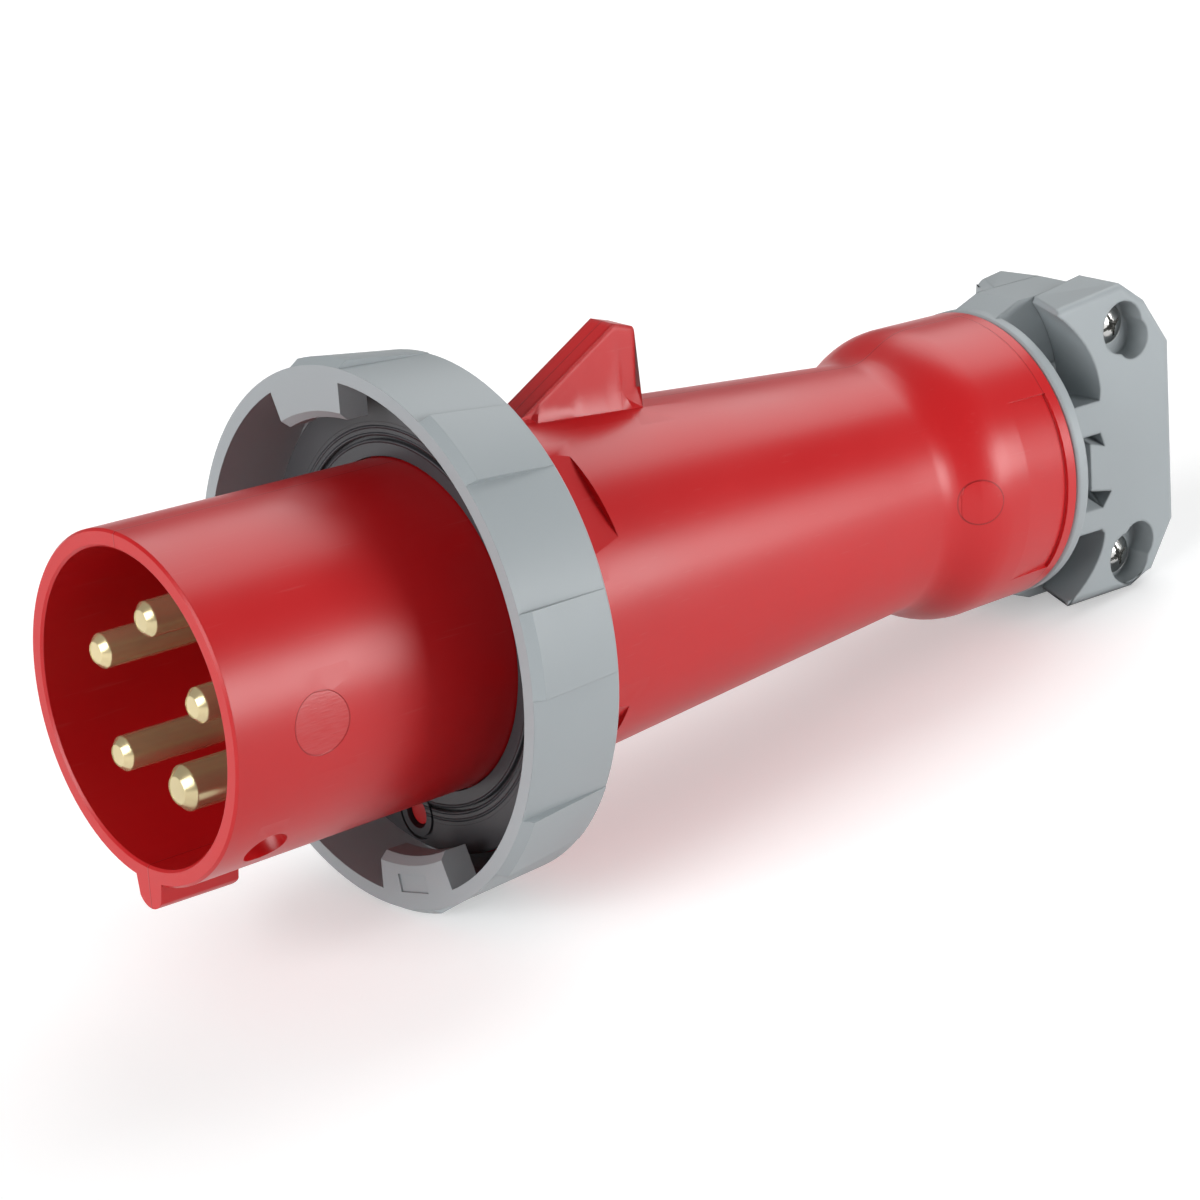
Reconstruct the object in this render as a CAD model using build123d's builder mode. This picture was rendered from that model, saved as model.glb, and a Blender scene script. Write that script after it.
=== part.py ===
from build123d import *
from math import cos, radians, sin, sqrt
import os

# Industrial pin and sleeve plug, five pins, with a bayonet locking ring and a cable clamp.
# Millimetres. The plug's axis is X: the mating mouth lies in the plane x = 0 and the cable
# leaves towards +X. +Z is up, where the handle has its thumb fin, and the key rib is below.
# Angles round the axis are read from the front: from +Z towards -Y.

# Fits
slide_gap = 0.3
seat_gap = 0.2
thread_gap = 0.02
running_gap = 0.05
entry_gap = 0.1
seal_gap = 0.07
# Reach of a cutting shape past the surface that it cuts
cut_reach = 1.0

# Sleeve round the pins
mouth_radius = 35.5
sleeve_wall = 3.6
sleeve_rear_radius = 34.2
sleeve_inner_draft = 0.5
sleeve_rim_chamfer = 0.5
pin_face_depth = 46.0
pin_face_wall = 4.0
pin_face_opening = 24.0

# Key rib under the sleeve
key_length = 18.0
key_height = 5.4
key_root_width = 9.2
key_tip_width = 7.4
key_corner = 2.0
key_root_depth = 2.0

# Marks and hole in the sleeve
hole_radius = 4.7
hole_x = 11.5
hole_angle = 136.0
mark_radius = 6.4
mark_x = 20.0
mark_depth = 0.55

# Flange, its hub for the ring, and the spigot that enters the handle
flange_front = 69.0
flange_thickness = 4.0
flange_gap = 4.6
hub_step = 3.5
spigot_radius = 32.4
spigot_length = 8.8
carrier_bore = 30.0
seal_x_in_spigot = 4.8
seal_groove_width = 1.8
seal_groove_depth = 1.2
peg_radius = 2.7
peg_height = 1.6
peg_count = 4

# Gasket in front of the flange
gasket_thickness = 2.5
gasket_setback = 0.3
gasket_groove_depth = 0.9
gasket_groove_width = 0.7
gasket_groove_steps = (1.65, 3.75)
ear_margin = 0.78
gasket_rim_chamfer = 0.4
ear_hole_radius = 3.4

# Locking ring
ring_front = 54.0
ring_floor = 3.6
ring_front_radius = 55.6
ring_taper = 1.6
ring_wall = 3.0
ring_inner_draft = 0.8
ring_edge = 1.0
ring_root_chamfer = 1.5
ring_lug_reach = 7.8
ring_lug_depth = 6.6
ring_lug_arc = 27.0
ring_lug_angles = (346.0, 166.0)
ring_lug_chamfer = 1.6
stamp_angle = 167.3
stamp_radius = 50.1
stamp_width = 9.6
stamp_height = 3.8
stamp_depth = 0.45
pad_count = 8
pad_arc = 17.5
pad_first_angle = 27.7
pad_rise = 1.3
pad_rear_rise = 0.15
pad_bevel = 2.2

# Pins
pin_circle_radius = 17.5
pin_step = 72.0
earth_angle = 150.0
pin_tip_x = 2.8
phase_pin_radius = 3.6
earth_pin_radius = 4.65
pin_tip_share = 0.58
pin_root_step = 0.4
pin_root_front = 0.8
collar_radius = 6.3
collar_length = 4.0
barrel_radius = 5.2
barrel_length = 23.0
wire_hole_radius = 3.2
wire_hole_depth = 16.0
terminal_screw_radius = 2.0
terminal_screw_length = 4.6
terminal_screw_places = (9.5, 16.0)
terminal_screw_bite = 0.2
terminal_slot_depth = 1.0

# Screw heads: slot width, and shares of the head's height and radius
screw_slot = 0.8
clamp_screw_slot = 1.0
head_rim_share = 0.45
head_slot_depth_share = 0.55
head_slot_share = 1.3
screw_point_share = 0.6

# Carrier, retainer and barrier inside
carrier_length = 26.0
retainer_thickness = 3.5
retainer_screw_circle_radius = 27.0
retainer_screw_count = 3
retainer_thread_floor = 1.2
retainer_screw_radius = 1.5
retainer_head_radius = 2.6
retainer_head_height = 2.0
barrier_hub_radius = 3.6
barrier_wing = 1.6
barrier_reach = 23.0
barrier_length = 27.5

# Handle
shoulder_setback = 0.5
shoulder_thickness = 3.5
neck_radius = 37.6
waist_x = 185.0
waist_radius = 27.6
band_x = 202.0
band_wall = 3.9
band_taper = 0.4
flare_rise = 0.2
body_rear = 221.0
body_rear_chamfer = 0.6
handle_wall = 2.9
flat_wall = 2.6
flat_distance = 34.8
flat_end = 95.5
flat_width = 26.0
flat_cut_depth = 6.0
assembly_screws_count = 4
assembly_edge = 4.0
assembly_screw_radius = 2.0
assembly_screw_length = 10.0
assembly_head_radius = 3.9
assembly_head_height = 2.8
first_screw_angle = 45.0

# Thumb fin on the handle
fin_foot_x = 92.0
fin_ridge_x = 119.5
fin_rear_x = 128.8
fin_height = 51.4
fin_top_drop = 1.6
fin_ridge_half = 1.9
fin_foot_half = 2.4
fin_foot_root_half = 3.0
fin_middle_root_half = 6.6
fin_rear_root_half = 8.1
fin_corner = 1.6
fin_foot_step = 0.4

# Label recess and round mark on the handle
label_front_x = 206.5
label_rear_x = 218.0
label_first_angle = 53.5
label_arc = 76.0
label_front_depth = 0.1
label_depth = 1.0
rear_mark_x = 194.0
rear_mark_z = 1.0
rear_mark_radius = 4.8
rear_mark_drop = 1.9

# Cable entry
grommet_radius = 28.3
grommet_length = 18.0
grommet_bore = 11.0
grommet_front_bore = 15.0
grommet_rear_bore = 14.0
grommet_step = 2.0
grommet_edge = 1.0
grommet_grooves = (15.5, 20.5)
grommet_groove_width = 1.6
grommet_groove_depth = 5.0
washer_thickness = 2.5
washer_bore = 14.0

# Clamp
clamp_collar_setback = 0.3
clamp_collar_thickness = 6.5
clamp_collar_reach = 2.5
clamp_collar_chamfer = 0.6
clamp_bore = 14.0
clamp_length = 34.5
clamp_shoulder_height = 2.0
clamp_rear_half = 20.5
clamp_knee_setback = 7.0
clamp_knee_drop = 3.0
clamp_crown_setback = 14.0
post_half_width = 6.4
post_inner_z = 18.0
post_root = 1.0
post_root_drop = 0.8
post_shoulder_run = 2.0
jaw_face = 20.0
jaw_inner = 6.5
jaw_front_step = 6.0
jaw_foot_gap = 0.3
saddle_radius = 13.0
jaw_edge_round = 1.6
clamp_screw_setback = 14.5
clamp_screw_z = 26.3
clamp_screw_radius = 2.4
clamp_head_radius = 4.4
clamp_head_height = 2.8
pocket_radius = 5.9
pocket_lobe_radius = 4.6
pocket_lobe_shift = 3.0
pocket_depth = 6.0
nut_radius = 4.4
nut_height = 3.5
nut_pocket_depth = 7.2
screw_tip_y = 20.0
bead_height = 0.5
bead_setback = 1.4

# Front edge of a jaw: steps back from its foot, and half heights from its middle
tongue_step = 7.0
tongue_half = 4.0
notch_tip_step = 13.0
notch_tip_half = 5.2
notch_rear_step = 11.0
notch_rear_half = 7.2
foot_inner_half = 7.6
foot_outer_half = 12.5
scoop_start_step = 12.4
scoop_middle_step = 10.4
scoop_middle_half = 24.0
jaw_shoulder_drop = 1.2
jaw_shoulder_run = 0.8

# Places that follow from the sizes
flange_rear = flange_front + flange_thickness
ring_rear_radius = ring_front_radius - ring_taper
skirt_inner = ring_front_radius - ring_wall
ring_lug_inner_radius = skirt_inner - ring_lug_reach
flange_radius = skirt_inner - flange_gap
hub_radius = flange_radius - hub_step
shoulder_radius = flange_radius - shoulder_setback
assembly_circle_radius = hub_radius - assembly_edge
ring_floor_front = flange_rear + seat_gap
ring_rear = ring_floor_front + ring_floor
hub_rear = ring_rear + seat_gap
shoulder_rear = hub_rear + shoulder_thickness
spigot_rear = hub_rear + spigot_length
spigot_bore = spigot_radius + slide_gap
chamber_front_radius = flat_distance - flat_wall
chamber_rear_radius = waist_radius - handle_wall
carrier_radius = carrier_bore - seat_gap
carrier_front = pin_face_depth + pin_face_wall
carrier_rear = pin_face_depth + carrier_length
retainer_rear = carrier_rear + retainer_thickness
barrel_rear = retainer_rear + barrel_length
grommet_seat = (body_rear - seat_gap - washer_thickness - grommet_length
                - clamp_collar_reach)
grommet_housing_bore = grommet_radius + entry_gap
collar_spigot_radius = grommet_radius - entry_gap
band_radius = grommet_housing_bore + band_wall
body_rear_radius = band_radius - band_taper
clamp_collar_radius = band_radius - clamp_collar_setback
rear_mark_flat = band_radius - rear_mark_drop
washer_front = grommet_seat + grommet_length
collar_spigot_front = washer_front + washer_thickness
collar_rear = body_rear + clamp_collar_thickness
clamp_rear = collar_rear + clamp_length
clamp_half_height = clamp_collar_radius + clamp_shoulder_height
clamp_knee_x = clamp_rear - clamp_knee_setback
clamp_knee_z = clamp_half_height - clamp_knee_drop
clamp_crown_x = clamp_rear - clamp_crown_setback
clamp_screw_x = clamp_rear - clamp_screw_setback
jaw_front = collar_rear + jaw_front_step
foot_front = collar_rear + jaw_foot_gap
bead_x = body_rear - bead_setback
head_seat_y = jaw_face - pocket_depth
pin_angles = {
    "pin_earth": earth_angle,
    "pin_phase_1": earth_angle + pin_step,
    "pin_phase_2": earth_angle + 2 * pin_step,
    "pin_phase_3": earth_angle + 3 * pin_step,
    "pin_neutral": earth_angle + 4 * pin_step,
}
# Angle of the barrier's first wing and of the first retainer screw, from +Y towards +Z
wing_angle = 90 + earth_angle + pin_step / 2
pieces = {}


def polar(radius, angle):
    """Y and Z of a point at a radius and an angle read from the front."""
    return -radius * sin(radians(angle)), radius * cos(radians(angle))


def cross_plane(x, radius=0.0, angle=0.0):
    """Plane across the plug's axis, seen from the cable end, with Y as its first direction."""
    return Plane(origin=(x, *polar(radius, angle)), x_dir=(0, 1, 0), z_dir=(1, 0, 0))


def half_plane(angle=0.0):
    """Plane through the plug's axis, with the radius as its second direction."""
    turn = radians(angle)
    return Plane(origin=(0, 0, 0), x_dir=(1, 0, 0), z_dir=(0, -cos(turn), -sin(turn)))


def side_plane(y=0.0):
    """Plane along the axis at one Y, with Z as its second direction."""
    return Plane(origin=(0, y, 0), x_dir=(1, 0, 0), z_dir=(0, -1, 0))


def turned(points, angle=0.0, arc=360.0, mode=Mode.ADD):
    """Turns a closed outline of (x, radius) points round the plug's axis."""
    with BuildSketch(half_plane(angle)) as outline:
        with BuildLine():
            Polyline(*points, close=True)
        make_face()
    revolve(outline.sketch, axis=Axis.X, revolution_arc=arc, mode=mode)


def keep(name, piece):
    """Labels a finished piece and files it under its name."""
    piece.label = name
    pieces[name] = piece


def outer_radius(x):
    """Outer radius of the sleeve, which tapers a little towards the flange."""
    return mouth_radius + (sleeve_rear_radius - mouth_radius) * x / flange_front


def cone_radius(x):
    """Outer radius of the handle's long cone."""
    share = (x - shoulder_rear) / (waist_x - shoulder_rear)
    return neck_radius + (waist_radius - neck_radius) * share


def pan_screw(head_radius, head_height, shank_radius, shank_length, slot_width, cross=True):
    """Pan-head screw with its seat at the origin and its shank along -Z."""
    rim_height = head_height * head_rim_share
    dome = head_height - rim_height
    dome_radius = (head_radius ** 2 + dome ** 2) / (2 * dome)
    half_way = head_height - dome_radius + sqrt(dome_radius ** 2 - head_radius ** 2 / 4)
    with BuildPart() as screw:
        with BuildSketch(Plane.XZ):
            with BuildLine():
                crown = Polyline((0, head_height), (0, -shank_length),
                                 (shank_radius * screw_point_share, -shank_length),
                                 (shank_radius, -shank_length + shank_radius / 2),
                                 (shank_radius, 0), (head_radius, 0),
                                 (head_radius, rim_height))
                ThreePointArc(crown @ 1, (head_radius / 2, half_way), crown @ 0)
            make_face()
        revolve(axis=Axis.Z)
        with BuildSketch(Plane.XY.offset(head_height)):
            Rectangle(head_radius * head_slot_share, slot_width)
            if cross:
                Rectangle(slot_width, head_radius * head_slot_share)
        extrude(amount=-head_height * head_slot_depth_share, mode=Mode.SUBTRACT)
    return screw.part


gasket_front = flange_front - gasket_thickness
gasket_bore = outer_radius(gasket_front) + slide_gap
gasket_radius = flange_radius - gasket_setback
peg_circle_radius = (gasket_bore + gasket_radius) / 2
ear_radius = (gasket_radius - gasket_bore) / 2 - ear_margin

# Front housing: the sleeve with its key, the wall that holds the pins, the flange and its hub
with BuildPart() as front_housing:
    inner_mouth = mouth_radius - sleeve_wall
    inner_deep = inner_mouth - sleeve_inner_draft
    rim = sleeve_rim_chamfer
    groove_front = hub_rear + seal_x_in_spigot - seal_groove_width / 2
    groove_rear = groove_front + seal_groove_width
    groove_floor = spigot_radius - seal_groove_depth
    turned([
        (0, inner_mouth + rim), (0, mouth_radius - rim), (rim, mouth_radius),
        (flange_front, sleeve_rear_radius), (flange_front, flange_radius),
        (flange_rear, flange_radius), (flange_rear, hub_radius), (hub_rear, hub_radius),
        (hub_rear, spigot_radius), (groove_front, spigot_radius), (groove_front, groove_floor),
        (groove_rear, groove_floor), (groove_rear, spigot_radius),
        (spigot_rear, spigot_radius), (spigot_rear, carrier_bore),
        (carrier_front, carrier_bore), (carrier_front, pin_face_opening),
        (pin_face_depth, pin_face_opening), (pin_face_depth, inner_deep), (rim, inner_mouth),
    ])
    # Key rib: a tapered rib with a rounded tip and a rounded rear corner
    with BuildSketch(cross_plane(0)) as key_section:
        with BuildLine():
            root = mouth_radius - key_root_depth
            tip = mouth_radius + key_height
            sides = Polyline((key_tip_width / 2, -tip + key_corner),
                             (key_root_width / 2, -root), (-key_root_width / 2, -root),
                             (-key_tip_width / 2, -tip + key_corner))
            ThreePointArc(sides @ 1, (0, -tip), sides @ 0)
        make_face()
    extrude(key_section.sketch, amount=key_length)
    with BuildSketch(side_plane()) as key_corner_cut:
        with Locations((key_length - key_corner / 2, -tip + key_corner / 2)):
            Rectangle(key_corner, key_corner)
        with Locations((key_length - key_corner, -tip + key_corner)):
            Circle(key_corner, mode=Mode.SUBTRACT)
    extrude(key_corner_cut.sketch, amount=key_root_width, both=True, mode=Mode.SUBTRACT)
    # Round hole through the sleeve beside the key
    hole_y, hole_z = polar(mouth_radius + cut_reach, hole_angle)
    hole_plane = Plane(origin=(hole_x, hole_y, hole_z), x_dir=(1, 0, 0),
                       z_dir=(0, -hole_y, -hole_z))
    with BuildSketch(hole_plane) as sleeve_hole:
        Circle(hole_radius)
    extrude(sleeve_hole.sketch, amount=sleeve_wall * 2, mode=Mode.SUBTRACT)
    # Flat round mark on the flank
    mark_flat = outer_radius(mark_x) - mark_depth
    with BuildSketch(side_plane(-mark_flat)) as mark:
        with Locations((mark_x, 0)):
            Circle(mark_radius)
    extrude(mark.sketch, amount=mark_depth * 3, mode=Mode.SUBTRACT)
    # Screw holes in the wall that the carrier is screwed to
    with BuildSketch(cross_plane(carrier_front)) as retainer_threads:
        with PolarLocations(retainer_screw_circle_radius, retainer_screw_count,
                            start_angle=wing_angle):
            Circle(retainer_screw_radius + thread_gap)
    extrude(retainer_threads.sketch, amount=-(pin_face_wall - retainer_thread_floor),
            mode=Mode.SUBTRACT)
    # Screw holes for the handle, from behind
    with BuildSketch(cross_plane(hub_rear)) as hub_threads:
        with PolarLocations(assembly_circle_radius, assembly_screws_count,
                            start_angle=first_screw_angle):
            Circle(assembly_screw_radius + thread_gap)
    extrude(hub_threads.sketch, amount=-(assembly_screw_length - shoulder_thickness + slide_gap),
            mode=Mode.SUBTRACT)
    # Pegs that hold the gasket
    with BuildSketch(cross_plane(flange_front)) as pegs:
        with PolarLocations(peg_circle_radius, peg_count, start_angle=0):
            Circle(peg_radius)
    extrude(pegs.sketch, amount=-peg_height)
keep("front_housing", front_housing.part)

# Gasket: flat rubber ring with two sealing grooves and an ear round each peg
with BuildPart() as flange_gasket:
    turned([(gasket_front, gasket_bore), (gasket_front, gasket_radius - gasket_rim_chamfer),
            (gasket_front + gasket_rim_chamfer, gasket_radius), (flange_front, gasket_radius),
            (flange_front, gasket_bore)])
    with BuildSketch(cross_plane(gasket_front)) as grooves:
        for step in gasket_groove_steps:
            Circle(gasket_bore + step + gasket_groove_width / 2)
            Circle(gasket_bore + step - gasket_groove_width / 2, mode=Mode.SUBTRACT)
        with PolarLocations(peg_circle_radius, peg_count, start_angle=0):
            Circle(ear_radius)
            Circle(ear_radius - gasket_groove_width, mode=Mode.SUBTRACT)
    extrude(grooves.sketch, amount=gasket_groove_depth, mode=Mode.SUBTRACT)
    with BuildSketch(cross_plane(gasket_front)) as ear_holes:
        with PolarLocations(peg_circle_radius, peg_count, start_angle=0):
            Circle(ear_hole_radius)
    extrude(ear_holes.sketch, amount=gasket_thickness, mode=Mode.SUBTRACT)
keep("flange_gasket", flange_gasket.part)

# Locking ring: a deep skirt with a floor behind the flange, two bayonet lugs and grip pads
with BuildPart() as lock_ring:
    skirt_root = skirt_inner - ring_inner_draft
    ring_bore = hub_radius + slide_gap
    turned([(ring_front, skirt_inner), (ring_front, ring_front_radius),
            (ring_rear - ring_edge, ring_rear_radius), (ring_rear, ring_rear_radius - ring_edge),
            (ring_rear, ring_bore), (ring_floor_front, ring_bore),
            (ring_floor_front, skirt_root - ring_root_chamfer),
            (ring_floor_front - ring_root_chamfer, skirt_root)])
    for lug_angle in ring_lug_angles:
        turned([(ring_front, ring_lug_inner_radius + ring_lug_chamfer),
                (ring_front, skirt_inner + ring_edge),
                (ring_front + ring_lug_depth, skirt_inner + ring_edge),
                (ring_front + ring_lug_depth, ring_lug_inner_radius),
                (ring_front + ring_lug_chamfer, ring_lug_inner_radius)],
               angle=lug_angle - ring_lug_arc / 2, arc=ring_lug_arc)
    # Bare recess for a date stamp in the lower lug's face
    with BuildSketch(cross_plane(ring_front)) as stamp:
        with PolarLocations(stamp_radius, 1, start_angle=90 + stamp_angle):
            Rectangle(stamp_height, stamp_width)
    extrude(stamp.sketch, amount=stamp_depth, mode=Mode.SUBTRACT)
    for number in range(pad_count):
        turned([(ring_front, ring_front_radius - ring_edge), (ring_front, ring_front_radius),
                (ring_front + pad_bevel, ring_front_radius + pad_rise),
                (ring_rear - ring_edge, ring_rear_radius + pad_rear_rise),
                (ring_rear - ring_edge, ring_rear_radius - ring_edge)],
               angle=pad_first_angle + number * 360 / pad_count, arc=pad_arc)
keep("lock_ring", lock_ring.part)


def contact_pin(radius, angle):
    """Solid brass pin with a bevelled tip, a collar and a screw terminal behind."""
    collar_front = carrier_rear - collar_length
    root_front = pin_face_depth - pin_root_front
    root_radius = radius + pin_root_step
    bevel = radius * (1 - pin_tip_share)
    axis_y, axis_z = polar(pin_circle_radius, angle)
    pin_plane = Plane(origin=(0, axis_y, axis_z), x_dir=(1, 0, 0), z_dir=(0, -1, 0))
    with BuildPart() as pin:
        with BuildSketch(pin_plane) as outline:
            with BuildLine():
                Polyline((pin_tip_x, 0), (pin_tip_x, radius * pin_tip_share),
                         (pin_tip_x + bevel, radius), (root_front, radius),
                         (root_front, root_radius), (collar_front, root_radius),
                         (collar_front, collar_radius), (carrier_rear, collar_radius),
                         (carrier_rear, barrel_radius), (barrel_rear, barrel_radius),
                         (barrel_rear, wire_hole_radius),
                         (barrel_rear - wire_hole_depth, wire_hole_radius),
                         (barrel_rear - wire_hole_depth, 0), close=True)
            make_face()
        revolve(outline.sketch, axis=Axis((0, axis_y, axis_z), (1, 0, 0)))
        for place in terminal_screw_places:
            with BuildSketch(terminal_plane(angle, retainer_rear + place)) as thread:
                Circle(terminal_screw_radius + thread_gap)
            extrude(thread.sketch, amount=barrel_radius * 2, mode=Mode.SUBTRACT)
    return pin.part


def terminal_plane(angle, x):
    """Plane at a pin's own axis, facing outwards from the plug's axis."""
    turn = radians(angle)
    return Plane(origin=(x, *polar(pin_circle_radius, angle)), x_dir=(1, 0, 0),
                 z_dir=(0, -sin(turn), cos(turn)))


# Five pins: the earth pin is thicker than the others
for name, angle in pin_angles.items():
    pin_radius = earth_pin_radius if name == "pin_earth" else phase_pin_radius
    keep(name, contact_pin(pin_radius, angle))

# Terminal screws: two slotted grub screws for each pin
with BuildPart() as terminal_screws:
    screw_foot = wire_hole_radius - terminal_screw_bite
    for angle in pin_angles.values():
        for place in terminal_screw_places:
            seat = terminal_plane(angle, retainer_rear + place)
            with BuildSketch(seat.offset(screw_foot)) as body_circle:
                Circle(terminal_screw_radius)
            extrude(body_circle.sketch, amount=terminal_screw_length)
            with BuildSketch(seat.offset(screw_foot + terminal_screw_length)) as slot:
                Rectangle(terminal_screw_radius * 2 + slide_gap, screw_slot)
            extrude(slot.sketch, amount=-terminal_slot_depth, mode=Mode.SUBTRACT)
keep("terminal_screws", terminal_screws.part)

# Carrier: the insulating block that the pins stand in
with BuildPart() as contact_carrier:
    turned([(pin_face_depth, 0), (pin_face_depth, pin_face_opening - seat_gap),
            (carrier_front, pin_face_opening - seat_gap), (carrier_front, carrier_radius),
            (carrier_rear, carrier_radius), (carrier_rear, 0)])
    for name, angle in pin_angles.items():
        pin_radius = earth_pin_radius if name == "pin_earth" else phase_pin_radius
        with BuildSketch(cross_plane(pin_face_depth, pin_circle_radius, angle)) as pin_hole:
            Circle(pin_radius + pin_root_step + running_gap)
        extrude(pin_hole.sketch, amount=carrier_length, mode=Mode.SUBTRACT)
        with BuildSketch(cross_plane(carrier_rear, pin_circle_radius, angle)) as collar_seat:
            Circle(collar_radius + running_gap)
        extrude(collar_seat.sketch, amount=-collar_length, mode=Mode.SUBTRACT)
    with BuildSketch(cross_plane(carrier_rear)) as screw_ways:
        with PolarLocations(retainer_screw_circle_radius, retainer_screw_count,
                            start_angle=wing_angle):
            Circle(retainer_screw_radius + running_gap)
    extrude(screw_ways.sketch, amount=-(carrier_rear - carrier_front), mode=Mode.SUBTRACT)
keep("contact_carrier", contact_carrier.part)

# Retainer: the plate behind the pins' collars
with BuildPart() as contact_retainer:
    with BuildSketch(cross_plane(carrier_rear)) as plate:
        Circle(carrier_radius)
        with PolarLocations(pin_circle_radius, len(pin_angles), start_angle=90 + earth_angle):
            Circle(barrel_radius + running_gap, mode=Mode.SUBTRACT)
        with PolarLocations(retainer_screw_circle_radius, retainer_screw_count,
                            start_angle=wing_angle):
            Circle(retainer_screw_radius + running_gap, mode=Mode.SUBTRACT)
    extrude(plate.sketch, amount=retainer_thickness)
keep("contact_retainer", contact_retainer.part)

# Retainer screws: three long screws that clamp retainer and carrier to the housing
retainer_screw_length = (retainer_rear - carrier_front + pin_face_wall - retainer_thread_floor
                         - slide_gap)
retainer_screw = pan_screw(retainer_head_radius, retainer_head_height, retainer_screw_radius,
                           retainer_screw_length, screw_slot)
with BuildPart() as retainer_screws:
    with Locations(cross_plane(retainer_rear)):
        with PolarLocations(retainer_screw_circle_radius, retainer_screw_count,
                            start_angle=wing_angle):
            add(retainer_screw)
keep("retainer_screws", retainer_screws.part)

# Barrier: a five-winged wall that keeps the terminals apart
with BuildPart() as terminal_barrier:
    with BuildSketch(cross_plane(retainer_rear)) as star:
        Circle(barrier_hub_radius)
        with PolarLocations(barrier_reach / 2, len(pin_angles), start_angle=wing_angle):
            Rectangle(barrier_reach, barrier_wing)
    extrude(star.sketch, amount=barrier_length)
keep("terminal_barrier", terminal_barrier.part)

# Seal between the housing's spigot and the handle
with BuildPart() as body_seal:
    seal_radius = (spigot_bore - groove_floor) / 2 - seal_gap
    with BuildSketch(half_plane()) as section:
        with Locations((hub_rear + seal_x_in_spigot, (spigot_bore + groove_floor) / 2)):
            Circle(seal_radius)
    revolve(section.sketch, axis=Axis.X)
keep("body_seal", body_seal.part)

# Thumb fin: three sections, narrow along the front slope and wide at the rear of the foot
with BuildPart() as fin_form:
    fin_sections = (
        (fin_foot_x, fin_foot_root_half, fin_foot_half, cone_radius(fin_foot_x) + fin_foot_step),
        (fin_ridge_x, fin_middle_root_half, fin_ridge_half, fin_height),
        (fin_rear_x, fin_rear_root_half, fin_ridge_half, fin_height - fin_top_drop),
    )
    for x, root_half, top_half, height in fin_sections:
        with BuildSketch(cross_plane(x)):
            with BuildLine():
                Polyline((-root_half, waist_radius), (-top_half, height), (top_half, height),
                         (root_half, waist_radius), close=True)
            make_face()
    loft(ruled=True)
    fin_top_edge = fin_form.edges().filter_by(Axis.Y).sort_by(Axis.Z)[-2:].sort_by(Axis.X)[-1]
    fillet(fin_top_edge, fin_corner)

# Handle: a tapered barrel with a shoulder behind the ring and a flared rear band
with BuildPart() as rear_body:
    with BuildSketch(half_plane()) as wall_section:
        with BuildLine():
            front = Polyline((hub_rear, spigot_bore), (hub_rear, shoulder_radius),
                             (shoulder_rear, shoulder_radius), (shoulder_rear, neck_radius),
                             (waist_x, waist_radius))
            flare = Spline(front @ 1, ((waist_x + band_x) / 2,
                                       (waist_radius + band_radius) / 2 + flare_rise),
                           (band_x, band_radius),
                           tangents=[(waist_x - shoulder_rear, waist_radius - neck_radius), (1, 0)])
            Polyline(flare @ 1, (body_rear - body_rear_chamfer, body_rear_radius),
                     (body_rear, body_rear_radius - body_rear_chamfer),
                     (body_rear, grommet_housing_bore),
                     (grommet_seat, grommet_housing_bore), (grommet_seat, chamber_rear_radius),
                     (waist_x, chamber_rear_radius), (flat_end + handle_wall, chamber_front_radius),
                     (spigot_rear + seat_gap, chamber_front_radius),
                     (spigot_rear + seat_gap, spigot_bore), front @ 0)
        make_face()
    revolve(wall_section.sketch, axis=Axis.X)
    add(fin_form.part)
    turned([(hub_rear + cut_reach, 0), (hub_rear + cut_reach, chamber_rear_radius),
            (waist_x, chamber_rear_radius), (waist_x, 0)], mode=Mode.SUBTRACT)
    # Four flats that make room for the assembly screws
    with BuildSketch(cross_plane(shoulder_rear)) as flats:
        with PolarLocations(flat_distance + flat_cut_depth / 2, assembly_screws_count,
                            start_angle=first_screw_angle):
            Rectangle(flat_cut_depth, flat_width)
    extrude(flats.sketch, amount=flat_end - shoulder_rear, mode=Mode.SUBTRACT)
    with BuildSketch(cross_plane(hub_rear)) as screw_holes:
        with PolarLocations(assembly_circle_radius, assembly_screws_count,
                            start_angle=first_screw_angle):
            Circle(assembly_screw_radius + running_gap)
    extrude(screw_holes.sketch, amount=shoulder_thickness, mode=Mode.SUBTRACT)
    # Bare recess for a rating label, deepest at its rear edge
    turned([(label_front_x, band_radius + cut_reach),
            (label_front_x, band_radius - label_front_depth),
            (label_rear_x, band_radius - label_depth), (label_rear_x, band_radius + cut_reach)],
           angle=label_first_angle, arc=label_arc, mode=Mode.SUBTRACT)
    # Round flat mark on the flare: a low boss with a flat end
    with BuildSketch(side_plane(-grommet_housing_bore)) as rear_mark:
        with Locations((rear_mark_x, rear_mark_z)):
            Circle(rear_mark_radius)
    extrude(rear_mark.sketch, amount=rear_mark_flat - grommet_housing_bore)
    with BuildSketch(side_plane(-rear_mark_flat)) as rear_mark_top:
        with Locations((rear_mark_x, rear_mark_z)):
            Circle(rear_mark_radius)
    extrude(rear_mark_top.sketch, amount=rear_mark_radius, mode=Mode.SUBTRACT)
    # Groove that the clamp collar snaps into
    turned([(bead_x - bead_height, grommet_housing_bore - cut_reach),
            (bead_x - bead_height, grommet_housing_bore),
            (bead_x, grommet_housing_bore + bead_height + seat_gap),
            (bead_x + bead_height, grommet_housing_bore),
            (bead_x + bead_height, grommet_housing_bore - cut_reach)], mode=Mode.SUBTRACT)
keep("rear_body", rear_body.part)

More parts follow.
